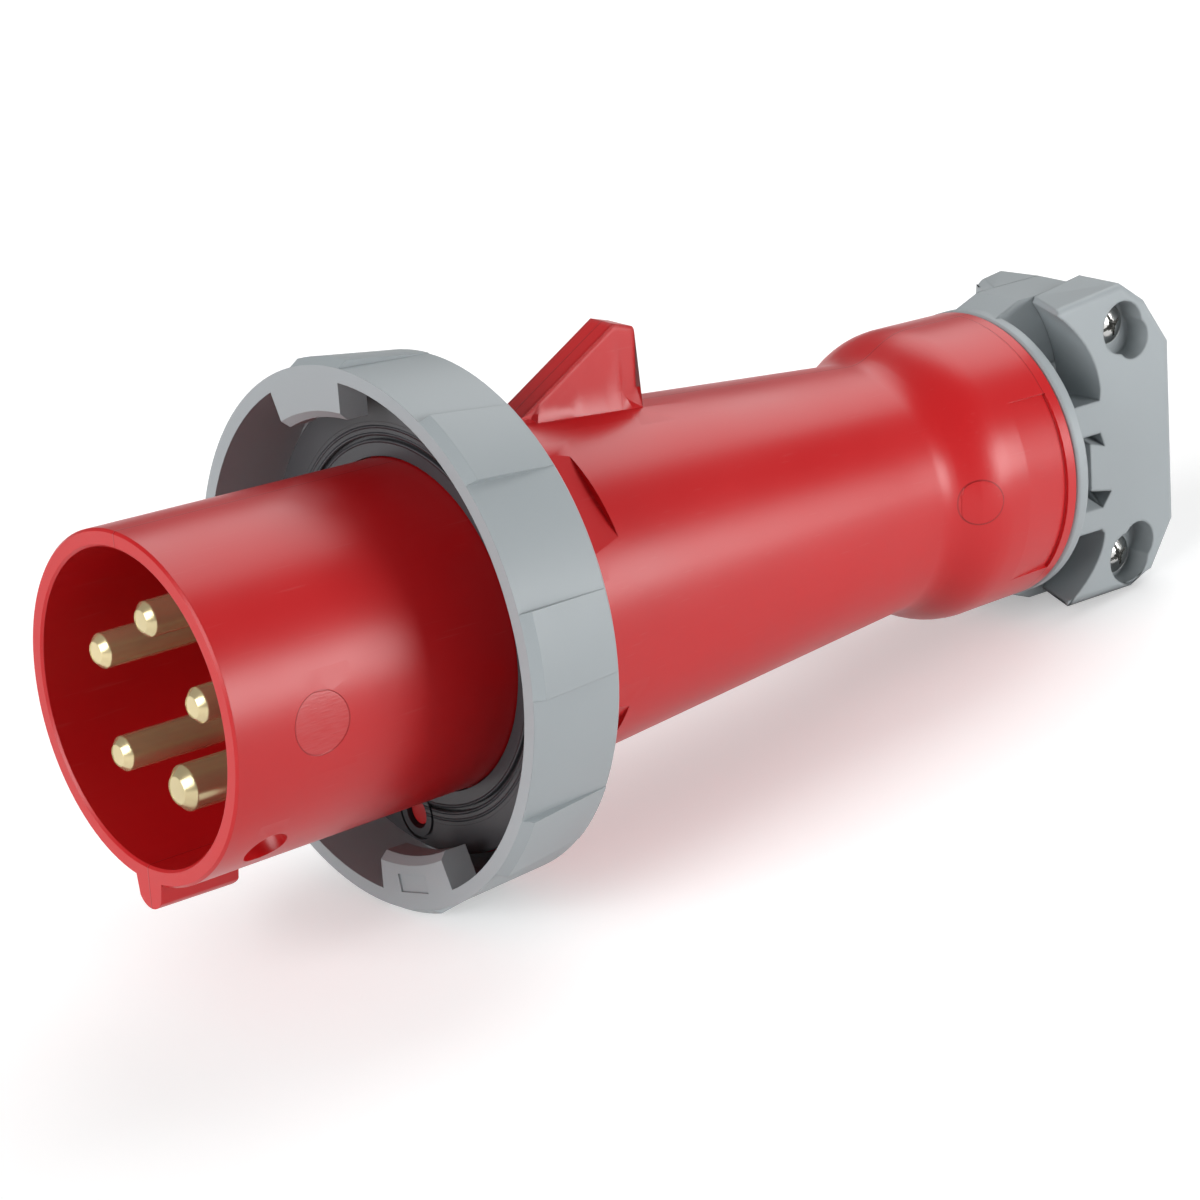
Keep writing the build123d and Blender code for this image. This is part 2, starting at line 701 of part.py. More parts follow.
# Assembly screws: from behind the shoulder into the hub
assembly_screw = pan_screw(assembly_head_radius, assembly_head_height, assembly_screw_radius,
                           assembly_screw_length, screw_slot)
with BuildPart() as assembly_screws:
    with Locations(cross_plane(shoulder_rear)):
        with PolarLocations(assembly_circle_radius, assembly_screws_count,
                            start_angle=first_screw_angle):
            add(assembly_screw)
keep("assembly_screws", assembly_screws.part)

# Grommet: a rubber bush with a stepped bore and ring grooves for thinner cables
with BuildPart() as cable_grommet:
    step_x = grommet_seat + grommet_length / 2
    turned([(grommet_seat, grommet_front_bore), (grommet_seat, grommet_radius - grommet_edge),
            (grommet_seat + grommet_edge, grommet_radius), (washer_front, grommet_radius),
            (washer_front, grommet_rear_bore), (step_x + grommet_step, grommet_bore),
            (step_x - grommet_step, grommet_bore)])
    groove_end = washer_front - grommet_groove_depth
    for groove in grommet_grooves:
        turned([(washer_front, groove), (washer_front, groove + grommet_groove_width),
                (groove_end, groove + grommet_groove_width), (groove_end, groove)],
               mode=Mode.SUBTRACT)
keep("cable_grommet", cable_grommet.part)

# Slip washer between grommet and clamp collar
with BuildPart() as slip_washer:
    turned([(washer_front, washer_bore), (washer_front, collar_spigot_radius),
            (collar_spigot_front, collar_spigot_radius), (collar_spigot_front, washer_bore)])
keep("slip_washer", slip_washer.part)


def clamp_outline(front_points):
    """Side view of one clamp layer: its rear is a stubby octagon, its front is given."""
    upper = [(clamp_crown_x, clamp_half_height), (clamp_knee_x, clamp_knee_z),
             (clamp_rear, clamp_rear_half)]
    lower = [(x, -z) for x, z in reversed(upper)]
    return front_points + upper + lower + [(x, -z) for x, z in reversed(front_points)]


# Clamp collar: a disc on the handle's end with two posts between the jaws
with BuildPart() as clamp_collar:
    edge = clamp_collar_chamfer
    turned([(collar_spigot_front, clamp_bore), (collar_spigot_front, collar_spigot_radius),
            (bead_x - bead_height, collar_spigot_radius),
            (bead_x, collar_spigot_radius + bead_height),
            (bead_x + bead_height, collar_spigot_radius), (body_rear, collar_spigot_radius),
            (body_rear, clamp_collar_radius - edge), (body_rear + edge, clamp_collar_radius),
            (collar_rear - edge, clamp_collar_radius), (collar_rear, clamp_collar_radius - edge),
            (collar_rear, clamp_bore)])
    with BuildSketch(side_plane()) as posts:
        with BuildLine():
            root = body_rear + post_root
            Polyline(*clamp_outline([(root, post_inner_z),
                                     (root, clamp_collar_radius - post_root_drop),
                                     (collar_rear + post_shoulder_run, clamp_half_height)]),
                     close=True)
        make_face()
        with Locations(((body_rear + clamp_rear) / 2, 0)):
            Rectangle(clamp_rear - body_rear + 2 * cut_reach, post_inner_z * 2,
                      mode=Mode.SUBTRACT)
    extrude(posts.sketch, amount=post_half_width, both=True)
    with BuildSketch(side_plane(-post_half_width)) as post_holes:
        with Locations((clamp_screw_x, clamp_screw_z), (clamp_screw_x, -clamp_screw_z)):
            Circle(clamp_screw_radius + slide_gap)
    extrude(post_holes.sketch, amount=-post_half_width * 2, mode=Mode.SUBTRACT)
keep("clamp_collar", clamp_collar.part)


def jaw_front_outline():
    """Front edge of a jaw from its middle upwards: tongue, notch, foot and scoop."""
    return [(foot_front + tongue_step, 0), (foot_front + tongue_step, tongue_half),
            (foot_front + notch_tip_step, notch_tip_half),
            (foot_front + notch_rear_step, notch_rear_half), (foot_front, foot_inner_half),
            (foot_front, foot_outer_half), (foot_front + scoop_start_step, foot_outer_half)]


def jaw(side):
    """One clamp jaw on the side -1 (near) or +1 (far), with its cable saddle."""
    with BuildPart() as form:
        with BuildSketch(side_plane(side * jaw_inner)) as outline:
            with BuildLine():
                for half in (1, -1):
                    front = Polyline(*[(x, half * z) for x, z in jaw_front_outline()])
                    shoulder = clamp_half_height - jaw_shoulder_drop
                    scoop = ThreePointArc(front @ 1, (foot_front + scoop_middle_step,
                                                      half * scoop_middle_half),
                                          (jaw_front, half * shoulder))
                    Polyline(scoop @ 1, (jaw_front + jaw_shoulder_run, half * clamp_half_height),
                             (clamp_crown_x, half * clamp_half_height),
                             (clamp_knee_x, half * clamp_knee_z),
                             (clamp_rear, half * clamp_rear_half), (clamp_rear, 0))
            make_face()
        extrude(outline.sketch, amount=-side * (jaw_face - jaw_inner))
        rims = form.faces().sort_by(Axis.Y)[0 if side < 0 else -1].edges()
        crown_middle = (jaw_front + clamp_crown_x) / 2
        fillet(rims.filter_by(lambda rim: rim.center().X > crown_middle and
                              (abs(rim.center().Z) > foot_outer_half
                               or rim.center().X > clamp_crown_x)), jaw_edge_round)
        with BuildSketch(cross_plane(collar_rear)) as saddle:
            Circle(saddle_radius)
        extrude(saddle.sketch, amount=clamp_length + cut_reach, mode=Mode.SUBTRACT)
        with BuildSketch(side_plane(side * jaw_inner)) as holes:
            with Locations((clamp_screw_x, clamp_screw_z), (clamp_screw_x, -clamp_screw_z)):
                Circle(clamp_screw_radius + running_gap)
        extrude(holes.sketch, amount=-side * (jaw_face - jaw_inner), mode=Mode.SUBTRACT)
        with BuildSketch(side_plane(side * jaw_face)) as pockets:
            for half in (1, -1):
                if side < 0:
                    with Locations((clamp_screw_x, half * clamp_screw_z)):
                        Circle(pocket_radius)
                    with Locations((clamp_screw_x + pocket_lobe_shift,
                                    half * (clamp_screw_z - pocket_lobe_shift))):
                        Circle(pocket_lobe_radius)
                else:
                    with Locations((clamp_screw_x, half * clamp_screw_z)):
                        RegularPolygon(nut_radius + seat_gap, 6)
        depth = pocket_depth if side < 0 else nut_pocket_depth
        extrude(pockets.sketch, amount=side * depth, mode=Mode.SUBTRACT)
    return form.part


keep("near_jaw", jaw(-1))
keep("far_jaw", jaw(1))

# Clamp screws: heads sunk in the near jaw, tips in the nuts of the far jaw
clamp_screw = pan_screw(clamp_head_radius, clamp_head_height, clamp_screw_radius,
                        screw_tip_y + head_seat_y, clamp_screw_slot)
with BuildPart() as clamp_screws:
    for half in (1, -1):
        head_seat = Plane(origin=(clamp_screw_x, -head_seat_y, half * clamp_screw_z),
                          x_dir=(1, 0, 0), z_dir=(0, -1, 0))
        with Locations(head_seat):
            add(clamp_screw)
keep("clamp_screws", clamp_screws.part)

# Clamp nuts: hexagon nuts at the bottom of the far jaw's pockets
with BuildPart() as clamp_nuts:
    with BuildSketch(side_plane(jaw_face - nut_pocket_depth)) as nuts:
        with Locations((clamp_screw_x, clamp_screw_z), (clamp_screw_x, -clamp_screw_z)):
            RegularPolygon(nut_radius, 6)
            Circle(clamp_screw_radius + running_gap, mode=Mode.SUBTRACT)
    extrude(nuts.sketch, amount=-nut_height)
keep("clamp_nuts", clamp_nuts.part)

os.makedirs("parts", exist_ok=True)
for name, piece in pieces.items():
    export_step(piece, f"parts/{name}.step")
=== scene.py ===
import math

import bmesh
import bpy
from bpy.props import FloatProperty, FloatVectorProperty, PointerProperty
from mathutils import Matrix, Vector


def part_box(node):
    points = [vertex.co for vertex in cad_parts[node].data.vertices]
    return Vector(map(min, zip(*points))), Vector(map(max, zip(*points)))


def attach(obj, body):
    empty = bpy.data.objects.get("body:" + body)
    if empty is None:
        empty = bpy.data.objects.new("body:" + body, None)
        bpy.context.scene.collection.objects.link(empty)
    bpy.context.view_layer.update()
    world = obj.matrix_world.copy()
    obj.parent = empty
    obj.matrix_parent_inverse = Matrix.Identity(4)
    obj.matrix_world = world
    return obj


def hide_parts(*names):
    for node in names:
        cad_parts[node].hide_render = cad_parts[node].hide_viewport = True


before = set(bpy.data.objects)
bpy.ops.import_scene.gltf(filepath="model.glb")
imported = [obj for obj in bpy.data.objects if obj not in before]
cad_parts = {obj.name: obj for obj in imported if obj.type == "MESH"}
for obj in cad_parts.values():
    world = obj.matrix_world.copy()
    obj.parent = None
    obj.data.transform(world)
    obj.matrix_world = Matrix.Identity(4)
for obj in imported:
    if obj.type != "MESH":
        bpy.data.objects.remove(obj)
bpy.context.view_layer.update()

bl_info = {
    "name": "Pin and sleeve plug",
    "version": (1, 0, 0),
    "blender": (4, 5, 0),
    "location": "View3D > Sidebar > Plug",
    "description": "Dresses the packed plug and sets up its studio",
    "category": "Object",
}

MM = 0.001
# Lengths are in millimetres. X runs along the plug from its mouth, Z up through the thumb fin

# The handle's cone: place along X and radius, at its neck and its waist
NECK = (80.5, 37.6)
WAIST = (185.0, 27.6)
# The thumb fin along X: front foot, top of its front edge, end of its fillet, and its rear edge
# in the solid and as it is shown
FIN_FOOT = 92.0
FIN_RIDGE = 119.5
FIN_END = 131.0
FIN_SOLID_REAR = 128.8
FIN_REAR = 124.8
# How far the fin's front foot moves back, and half its thickness at the crest and at the foot
FIN_FRONT_SHIFT = 2.5
FIN_HALF = 3.7
FIN_FOOT_HALF = 5.0
# Above this height the handle's edges are the fin's, which are rounder
FIN_FOOT_RADIUS = 37.2
# The fin's corners all lie above this height and within this half width
FIN_LOW = 30.0
FIN_REACH = 9.5
# Thin line round the handle's rear
REAR_LINE = 217.6
# The clamp: the collar's rear rim, the radius it starts at and what it loses, and the jaws'
# feet, half height and outer side
COLLAR_REAR = 227.5
COLLAR_RIM_RADIUS = 20.0
COLLAR_CUT = 3.0
JAW_FOOT = 227.8
JAW_HEIGHT = 34.05
JAW_SIDE = 15.0
# The jaws' scoops beside their feet, from one height to another, and their rear
SCOOP_START = 12.5
SCOOP_END = 32.85
SCOOP_REAR = 241.0
LOW_SCOOP_START = 17.8
# How far the jaws' front horns lean forward or are cut back
NEAR_HORN_LEAN = 5.5
FAR_HORN_CUT = 8.5
# The near jaw's crown: its front, its height and how far it rises, and the same for its low end
NEAR_CROWN = (245.0, 31.0)
CROWN_RISE = 2.0
LOW_END = -33.0
LOW_END_RISE = 1.4
# The far jaw's crown: its two edges along X, and its fall outwards up to each of them
FAR_CROWN = (246.0, 249.0)
FAR_CROWN_FALL = (0.4, 0.2)
# The pins: their circle, the earth pin's clock angle in degrees, and the share of the radius
# that the tip's bevel takes
PIN_CIRCLE = 17.5
EARTH_ANGLE = 150.0
PIN_BEVEL = 0.42
# Inside the block: front and growth of the pin's seat, its collar's place, thickness and radius,
# its terminal's radius, and radius and depth of the wire hole
PIN_SEAT = (45.2, 0.4)
PIN_COLLAR = (68.0, 4.0, 6.3)
TERMINAL_RADIUS = 5.2
WIRE_HOLE = (3.2, 16.0)
# The gasket's fine ridges: inner radius, outer radius and pitch
GASKET_RIDGES = (37.2, 41.6, 1.45)
# Circle of the shoulder's screws and of the gasket's studs, and the shoulder's rear face
SCREW_CIRCLE = 40.5
SHOULDER_REAR = 80.5
# Head height, shank radius and length of the screws
SHOULDER_SCREW = (2.8, 2.0, 9.0)
CLAMP_SCREW = (2.8, 2.4, 33.0)
# The studs in the gasket stand every 90 degrees; the plug shows them a few degrees further
# round, and the top one much further, behind the ring
STUD_TURN = 5.3
FIRST_STUD_TURN = 38.0
STUD_RADIUS = 4.5
STUD_FOOT = 69.1
# The clamp's screws: place along X, height, seat in Y, and turn of their recess in degrees
CLAMP_SCREW_X = 247.5
CLAMP_SCREW_Z = 26.3
CLAMP_SCREW_SEAT = -14.0
CLAMP_SCREW_TURN = 20.0
CLAMP_POCKET_RADIUS = 6.1
# Round marks of the mould: place along X, height, radius, and where the outside starts
SLEEVE_MARK = (20.0, 0.0, 6.4, 34.0)
HANDLE_MARK = (194.0, 1.0, 4.8, 27.0)
# Where the plug touches a table: the ring's front pad and the clamp's crown
REST_FRONT = (56.2, -56.95)
REST_REAR = (248.0, -34.05)
# The picture's camera: azimuth, elevation and roll in degrees, its place in metres, its lens
VIEW_TURN = (-37.51, 17.79, -3.92)
VIEW_PLACE = (-0.4038, -0.6748, 0.2661)
VIEW_LENS = 129.88
# Reading the solids' faces: how alike two normals in one plane are, how far facets sag from
# a turned surface, how wide a flat face is at least, and up to which angle edges are smooth
SAME_PLANE = 0.999998
FACET_SAG = 0.08
FLAT_WIDTH = 2.2
SMOOTH_BELOW = math.radians(32.0)


def linear(red, green, blue):
    """Linear colour from the numbers a picture shows, from 0 to 255."""
    shown = [value / 255 for value in (red, green, blue)]
    return tuple(value / 12.92 if value <= 0.04045 else ((value + 0.055) / 1.055) ** 2.4
                 for value in shown)


class PlugSizes(bpy.types.PropertyGroup):
    """Sizes of the finish that the moulds leave."""
    edge: FloatProperty(name="Moulded edge", description="Rounding of most moulded edges",
                        default=0.2 * MM, unit="LENGTH", precision=5)
    fin_edge: FloatProperty(name="Fin edge", description="Rounding of the thumb fin's edges",
                            default=1.9 * MM, unit="LENGTH", precision=5)
    clamp_edge: FloatProperty(name="Clamp edge", description="Rounding of the cable clamp's edges",
                              default=0.9 * MM, unit="LENGTH", precision=5)
    sleeve_mark: FloatProperty(name="Sleeve mark", description="Depth of its round mark",
                               default=0.12 * MM, unit="LENGTH", precision=5)
    handle_mark: FloatProperty(name="Handle mark", description="Height of its round mark",
                               default=0.14 * MM, unit="LENGTH", precision=5)
    phase_pin: FloatProperty(name="Phase pin", description="Radius of the four thinner pins",
                             default=3.6 * MM, unit="LENGTH", precision=5)
    earth_pin: FloatProperty(name="Earth pin", description="Radius of the thickest pin",
                             default=4.65 * MM, unit="LENGTH", precision=5)
    screw_head: FloatProperty(name="Shoulder screw head", description="Radius of its pan head",
                              default=3.9 * MM, unit="LENGTH", precision=5)
    clamp_head: FloatProperty(name="Clamp screw head", description="Radius of its pan head",
                              default=4.4 * MM, unit="LENGTH", precision=5)


class PlugColours(bpy.types.PropertyGroup):
    """Colours of the mouldings and metals."""
    red: FloatVectorProperty(name="Red", description="Sleeve and handle", subtype="COLOR",
                             default=linear(186, 17, 22))
    # Painted shade: the block deep in the sleeve's mouth gets a darker copy of the red, for the
    # shade it sits in
    inner_red_painted_shade: FloatVectorProperty(name="Inner red", description="Block that the pins stand in",
                                   subtype="COLOR", default=linear(140, 6, 8))
    grey: FloatVectorProperty(name="Grey", description="Locking ring and cable clamp",
                              subtype="COLOR", default=linear(149, 156, 159))
    rubber: FloatVectorProperty(name="Rubber", description="Gasket and grommet",
                                subtype="COLOR", default=linear(60, 61, 64))
    black: FloatVectorProperty(name="Black", description="Inner plates", subtype="COLOR",
                               default=linear(40, 40, 42))
    brass: FloatVectorProperty(name="Brass", description="Pins", subtype="COLOR",
                               default=linear(222, 206, 160))
    zinc: FloatVectorProperty(name="Zinc", description="Screws and nuts", subtype="COLOR",
                              default=linear(198, 198, 196))


class PlugLight(bpy.types.PropertyGroup):
    """Strength of the studio's light."""
    room: FloatProperty(name="Room", description="Even light from all sides", default=0.26)
    left: FloatProperty(name="Left light", description="Soft light along the plug's front",
                        default=2.7)
    top: FloatProperty(name="Top light", description="Soft light from above", default=1.3)
    right: FloatProperty(name="Right lamp", description="Power of the lamp beside the handle",
                         default=5.2, subtype="POWER")
    floor: FloatProperty(name="Floor", description="How pale the floor is", default=0.8)
    lift: FloatProperty(name="Backdrop", description="How much paler the floor looks",
                        default=0.36)


# Shader effects that the materials share

def put(tree, kind, values=None, **settings):
    """Adds a node with its settings and unlinked input values."""
    node = tree.nodes.new(kind)
    for key, value in settings.items():
        setattr(node, key, value)
    for key, value in (values or {}).items():
        node.inputs[key].default_value = value
    return node


def join(tree, source, target):
    """Links an output socket to an input socket."""
    tree.links.new(source, target)


def math_node(tree, operation, first, second=None):
    """Adds a Math node and returns its result. Inputs are sockets or numbers."""
    node = put(tree, "ShaderNodeMath", operation=operation)
    for place, value in enumerate((first, second)):
        if isinstance(value, (int, float)):
            node.inputs[place].default_value = value
        elif value is not None:
            join(tree, value, node.inputs[place])
    return node.outputs[0]


def effect(name, inputs, outputs):
    """New shader group. Returns it and its inner sockets."""
    tree = bpy.data.node_groups.new(name, "ShaderNodeTree")
    for label, kind, default in inputs:
        socket = tree.interface.new_socket(label, in_out="INPUT", socket_type=kind)
        if default is not None:
            socket.default_value = default
    for label in outputs:
        tree.interface.new_socket(label, in_out="OUTPUT", socket_type="NodeSocketFloat")
    return tree, tree.nodes.new("NodeGroupInput").outputs, tree.nodes.new("NodeGroupOutput").inputs


def grain_group():
    """Fine moulding grain and slow waviness of a plastic surface."""
    tree, given, made = effect("Moulding grain", [
        ("Vector", "NodeSocketVector", None), ("Scale", "NodeSocketFloat", 900.0)],
        ["Height", "Tone"])
    fine = put(tree, "ShaderNodeTexNoise", {"Detail": 3.0, "Roughness": 0.6})
    join(tree, given["Vector"], fine.inputs["Vector"])
    join(tree, given["Scale"], fine.inputs["Scale"])
    slow = put(tree, "ShaderNodeTexNoise", {"Detail": 2.0, "Roughness": 0.5})
    join(tree, given["Vector"], slow.inputs["Vector"])
    join(tree, math_node(tree, "MULTIPLY", given["Scale"], 0.04), slow.inputs["Scale"])
    join(tree, fine.outputs["Fac"], made["Height"])
    join(tree, slow.outputs["Fac"], made["Tone"])


def scratch_group():
    """Thin scratches that run in two directions."""
    tree, given, made = effect("Handling scratches", [
        ("Vector", "NodeSocketVector", None), ("Length", "NodeSocketFloat", 60.0),
        ("Amount", "NodeSocketFloat", 0.5)], ["Mask"])
    masks = []
    for turn, seed in (((0.5, 0.3, 0.9), 0.0), ((0.2, -0.7, -0.5), 7.0)):
        turned = put(tree, "ShaderNodeMapping", {"Rotation": turn, "Scale": (1.0, 22.0, 22.0),
                                                 "Location": (seed, seed, seed)})
        join(tree, given["Vector"], turned.inputs["Vector"])
        lines = put(tree, "ShaderNodeTexNoise", {"Detail": 1.0, "Roughness": 0.4})
        join(tree, turned.outputs["Vector"], lines.inputs["Vector"])
        join(tree, given["Length"], lines.inputs["Scale"])
        thin = put(tree, "ShaderNodeMapRange", {"From Min": 0.72, "From Max": 0.8})
        join(tree, lines.outputs["Fac"], thin.inputs["Value"])
        masks.append(thin.outputs["Result"])
    join(tree, math_node(tree, "MULTIPLY", math_node(tree, "MAXIMUM", *masks), given["Amount"]),
         made["Mask"])


def seam_group():
    """Line where two halves of a mould met: one where the surface crosses a plane."""
    tree, given, made = effect("Mould seam", [
        ("Vector", "NodeSocketVector", None), ("Across", "NodeSocketVector", (0.0, 1.0, 0.0)),
        ("Offset", "NodeSocketFloat", 0.0), ("Width", "NodeSocketFloat", 0.00012)], ["Line"])
    across = put(tree, "ShaderNodeVectorMath", operation="DOT_PRODUCT")
    join(tree, given["Vector"], across.inputs[0])
    join(tree, given["Across"], across.inputs[1])
    away = math_node(tree, "ABSOLUTE",
                     math_node(tree, "SUBTRACT", across.outputs["Value"], given["Offset"]))
    share = math_node(tree, "DIVIDE", away, given["Width"])
    line = put(tree, "ShaderNodeMapRange", {"From Min": 0.4, "From Max": 1.3, "To Min": 1.0,
                                            "To Max": 0.0}, interpolation_type="SMOOTHSTEP")
    join(tree, share, line.inputs["Value"])
    join(tree, line.outputs["Result"], made["Line"])


def lathe_group():
    """Fine lines that a lathe leaves round an axis along X."""
    tree, given, made = effect("Lathe lines", [
        ("Vector", "NodeSocketVector", None), ("Scale", "NodeSocketFloat", 60.0)], ["Lines"])
    stretched = put(tree, "ShaderNodeMapping", {"Scale": (60.0, 1.2, 1.2)})
    join(tree, given["Vector"], stretched.inputs["Vector"])
    lines = put(tree, "ShaderNodeTexNoise", {"Detail": 4.0, "Roughness": 0.7})
    join(tree, stretched.outputs["Vector"], lines.inputs["Vector"])
    join(tree, given["Scale"], lines.inputs["Scale"])
    join(tree, lines.outputs["Fac"], made["Lines"])


def round_mark_group():
    """Round mark on the near side: its outline and the disc inside it."""
    tree, given, made = effect("Round mark", [
        ("Vector", "NodeSocketVector", None), ("Along", "NodeSocketFloat", 0.0),
        ("Height", "NodeSocketFloat", 0.0), ("Radius", "NodeSocketFloat", 0.005),
        ("Line Width", "NodeSocketFloat", 0.0002)], ["Outline", "Disc"])
    place = put(tree, "ShaderNodeSeparateXYZ")
    join(tree, given["Vector"], place.inputs[0])
    flat = put(tree, "ShaderNodeCombineXYZ")
    join(tree, math_node(tree, "SUBTRACT", place.outputs["X"], given["Along"]), flat.inputs["X"])
    join(tree, math_node(tree, "SUBTRACT", place.outputs["Z"], given["Height"]),
         flat.inputs["Y"])
    away = put(tree, "ShaderNodeVectorMath", operation="LENGTH")
    join(tree, flat.outputs[0], away.inputs[0])
    out = math_node(tree, "DIVIDE", math_node(tree, "SUBTRACT", away.outputs["Value"],
                                              given["Radius"]), given["Line Width"])
    near = math_node(tree, "LESS_THAN", place.outputs["Y"], -0.02)
    line = put(tree, "ShaderNodeMapRange", {"From Min": 0.3, "From Max": 1.1, "To Min": 1.0,
                                            "To Max": 0.0}, interpolation_type="SMOOTHSTEP")
    join(tree, math_node(tree, "ABSOLUTE", out), line.inputs["Value"])
    disc = put(tree, "ShaderNodeMapRange", {"From Min": -1.0, "From Max": 0.0, "To Min": 1.0,
                                            "To Max": 0.0}, interpolation_type="SMOOTHSTEP")
    join(tree, out, disc.inputs["Value"])
    join(tree, math_node(tree, "MULTIPLY", line.outputs["Result"], near), made["Outline"])
    join(tree, math_node(tree, "MULTIPLY", disc.outputs["Result"], near), made["Disc"])


def ridge_group():
    """Fine ridges in circles round the X axis, between two radii."""
    tree, given, made = effect("Circle ridges", [
        ("Vector", "NodeSocketVector", None), ("Start", "NodeSocketFloat", 0.037),
        ("End", "NodeSocketFloat", 0.042), ("Pitch", "NodeSocketFloat", 0.0015)], ["Height"])
    place = put(tree, "ShaderNodeSeparateXYZ")
    join(tree, given["Vector"], place.inputs[0])
    flat = put(tree, "ShaderNodeCombineXYZ")
    join(tree, place.outputs["Y"], flat.inputs["X"])
    join(tree, place.outputs["Z"], flat.inputs["Y"])
    away = put(tree, "ShaderNodeVectorMath", operation="LENGTH")
    join(tree, flat.outputs[0], away.inputs[0])
    radius = away.outputs["Value"]
    turns = math_node(tree, "DIVIDE", math_node(tree, "SUBTRACT", radius, given["Start"]),
                      given["Pitch"])
    wave = math_node(tree, "SINE", math_node(tree, "MULTIPLY", turns, 2 * math.pi))
    band = math_node(tree, "MULTIPLY", math_node(tree, "GREATER_THAN", radius, given["Start"]),
                     math_node(tree, "LESS_THAN", radius, given["End"]))
    join(tree, math_node(tree, "MULTIPLY", math_node(tree, "MAXIMUM", wave, 0.0), band),
         made["Height"])


def use(tree, group, vector, values=None):
    """Places an effect group in a material and feeds it the object's coordinates."""
    node = put(tree, "ShaderNodeGroup", node_tree=bpy.data.node_groups[group])
    for key, value in (values or {}).items():
        node.inputs[key].default_value = value
    join(tree, vector, node.inputs["Vector"])
    return node.outputs


def blend(tree, share, first, second):
    """Mixes two colours, or a colour and a socket, by a share from 0 to 1."""
    node = put(tree, "ShaderNodeMix", data_type="RGBA")
    for place, value in ((6, first), (7, second)):
        if isinstance(value, tuple):
            node.inputs[place].default_value = (*value, 1.0)
        else:
            join(tree, value, node.inputs[place])
    join(tree, share, node.inputs[0])
    return node.outputs[2]


def spread(tree, value, low, high):
    """Maps a value of 0.3 to 0.7 to a span, and beyond it alike, for roughness."""
    node = put(tree, "ShaderNodeMapRange", {"From Min": 0.3, "From Max": 0.7, "To Min": low,
                                            "To Max": high}, clamp=False)
    join(tree, value, node.inputs["Value"])
    return node.outputs["Result"]


def new_material(name):
    """New node material. Returns its tree, its shader and the object's coordinates."""
    material = bpy.data.materials.new(name)
    material.use_nodes = True
    tree = material.node_tree
    shader = tree.nodes["Principled BSDF"]
    return tree, shader, tree.nodes.new("ShaderNodeTexCoord").outputs["Object"]


def shade(colour, factor):
    """The colour made lighter or darker."""
    return tuple(min(value * factor, 1.0) for value in colour)


def moulded(name, colour, rough, edge, scratches=0.5, seams=(), bumps=0.00004, extra=None):
    """Plastic or rubber moulding with rounded edges, grain, scratches and mould seams."""
    tree, shader, place = new_material(name)
    surface = use(tree, "Moulding grain", place)
    marks = use(tree, "Handling scratches", place, {"Amount": scratches})
    base = blend(tree, surface["Tone"], shade(colour, 0.95), shade(colour, 1.05))
    base = blend(tree, math_node(tree, "MULTIPLY", marks["Mask"], 0.08), base,
                 tuple(0.6 * value + 0.25 for value in colour))
    height = math_node(tree, "SUBTRACT", math_node(tree, "MULTIPLY", surface["Height"], 0.06),
                       math_node(tree, "MULTIPLY", marks["Mask"], 0.2))
    for across, offset, width, rise in seams:
        line = use(tree, "Mould seam", place, {"Across": across, "Offset": offset,
                                               "Width": width})["Line"]
        height = math_node(tree, "ADD", height, math_node(tree, "MULTIPLY", line, rise))
        base = blend(tree, math_node(tree, "MULTIPLY", line, 0.6), base, shade(colour, 0.4))
    if extra:
        base, height = extra(tree, place, base, height, colour)
    soft = put(tree, "ShaderNodeBevel", samples=4)
    if isinstance(edge, float):
        soft.inputs["Radius"].default_value = edge
    else:
        join(tree, edge(tree, place), soft.inputs["Radius"])
    bump = put(tree, "ShaderNodeBump", {"Strength": 1.0, "Distance": bumps})
    join(tree, height, bump.inputs["Height"])
    join(tree, soft.outputs[0], bump.inputs["Normal"])
    join(tree, base, shader.inputs["Base Color"])
    join(tree, math_node(tree, "ADD", spread(tree, surface["Tone"], rough[0], rough[1]),
                         math_node(tree, "MULTIPLY", marks["Mask"], 0.1)),
         shader.inputs["Roughness"])
    join(tree, bump.outputs["Normal"], shader.inputs["Normal"])


def fin_and_body_edges(fin, body):
    """Edge radius of the handle: wide on the thumb fin, narrow elsewhere."""
    def radius(tree, place):
        """Socket with the edge radius at each place."""
        parts = put(tree, "ShaderNodeSeparateXYZ")
        join(tree, place, parts.inputs[0])
        on_fin = math_node(tree, "MULTIPLY",
                           math_node(tree, "GREATER_THAN", parts.outputs["Z"],
                                     FIN_FOOT_RADIUS * MM),
                           math_node(tree, "LESS_THAN", parts.outputs["X"], FIN_END * MM))
        return math_node(tree, "ADD", math_node(tree, "MULTIPLY", on_fin, fin - body), body)
    return radius


def rough_disc(tree, place, base, height, colour):
    """Coarse mould finish on the sleeve's round mark."""
    x, z, radius, _ = SLEEVE_MARK
    mark = use(tree, "Round mark", place, {"Along": x * MM, "Height": z * MM,
                                           "Radius": (radius - 0.1) * MM,
                                           "Line Width": 0.22 * MM})
    turned = put(tree, "ShaderNodeMapping", {"Rotation": (0.0, 0.35, 0.0),
                                             "Scale": (1.0, 1.0, 9.0)})
    join(tree, place, turned.inputs["Vector"])
    coarse = put(tree, "ShaderNodeTexNoise", {"Scale": 320.0, "Detail": 3.0})
    join(tree, turned.outputs["Vector"], coarse.inputs["Vector"])
    rough = math_node(tree, "MULTIPLY", coarse.outputs["Fac"], mark["Disc"])
    base = blend(tree, math_node(tree, "MULTIPLY", mark["Outline"], 0.45), base,
                 shade(colour, 0.35))
    base = blend(tree, math_node(tree, "MULTIPLY", rough, 0.16), base,
                 tuple(0.5 * value + 0.35 for value in colour))
    return base, math_node(tree, "ADD", height, math_node(tree, "MULTIPLY", rough, 1.1))


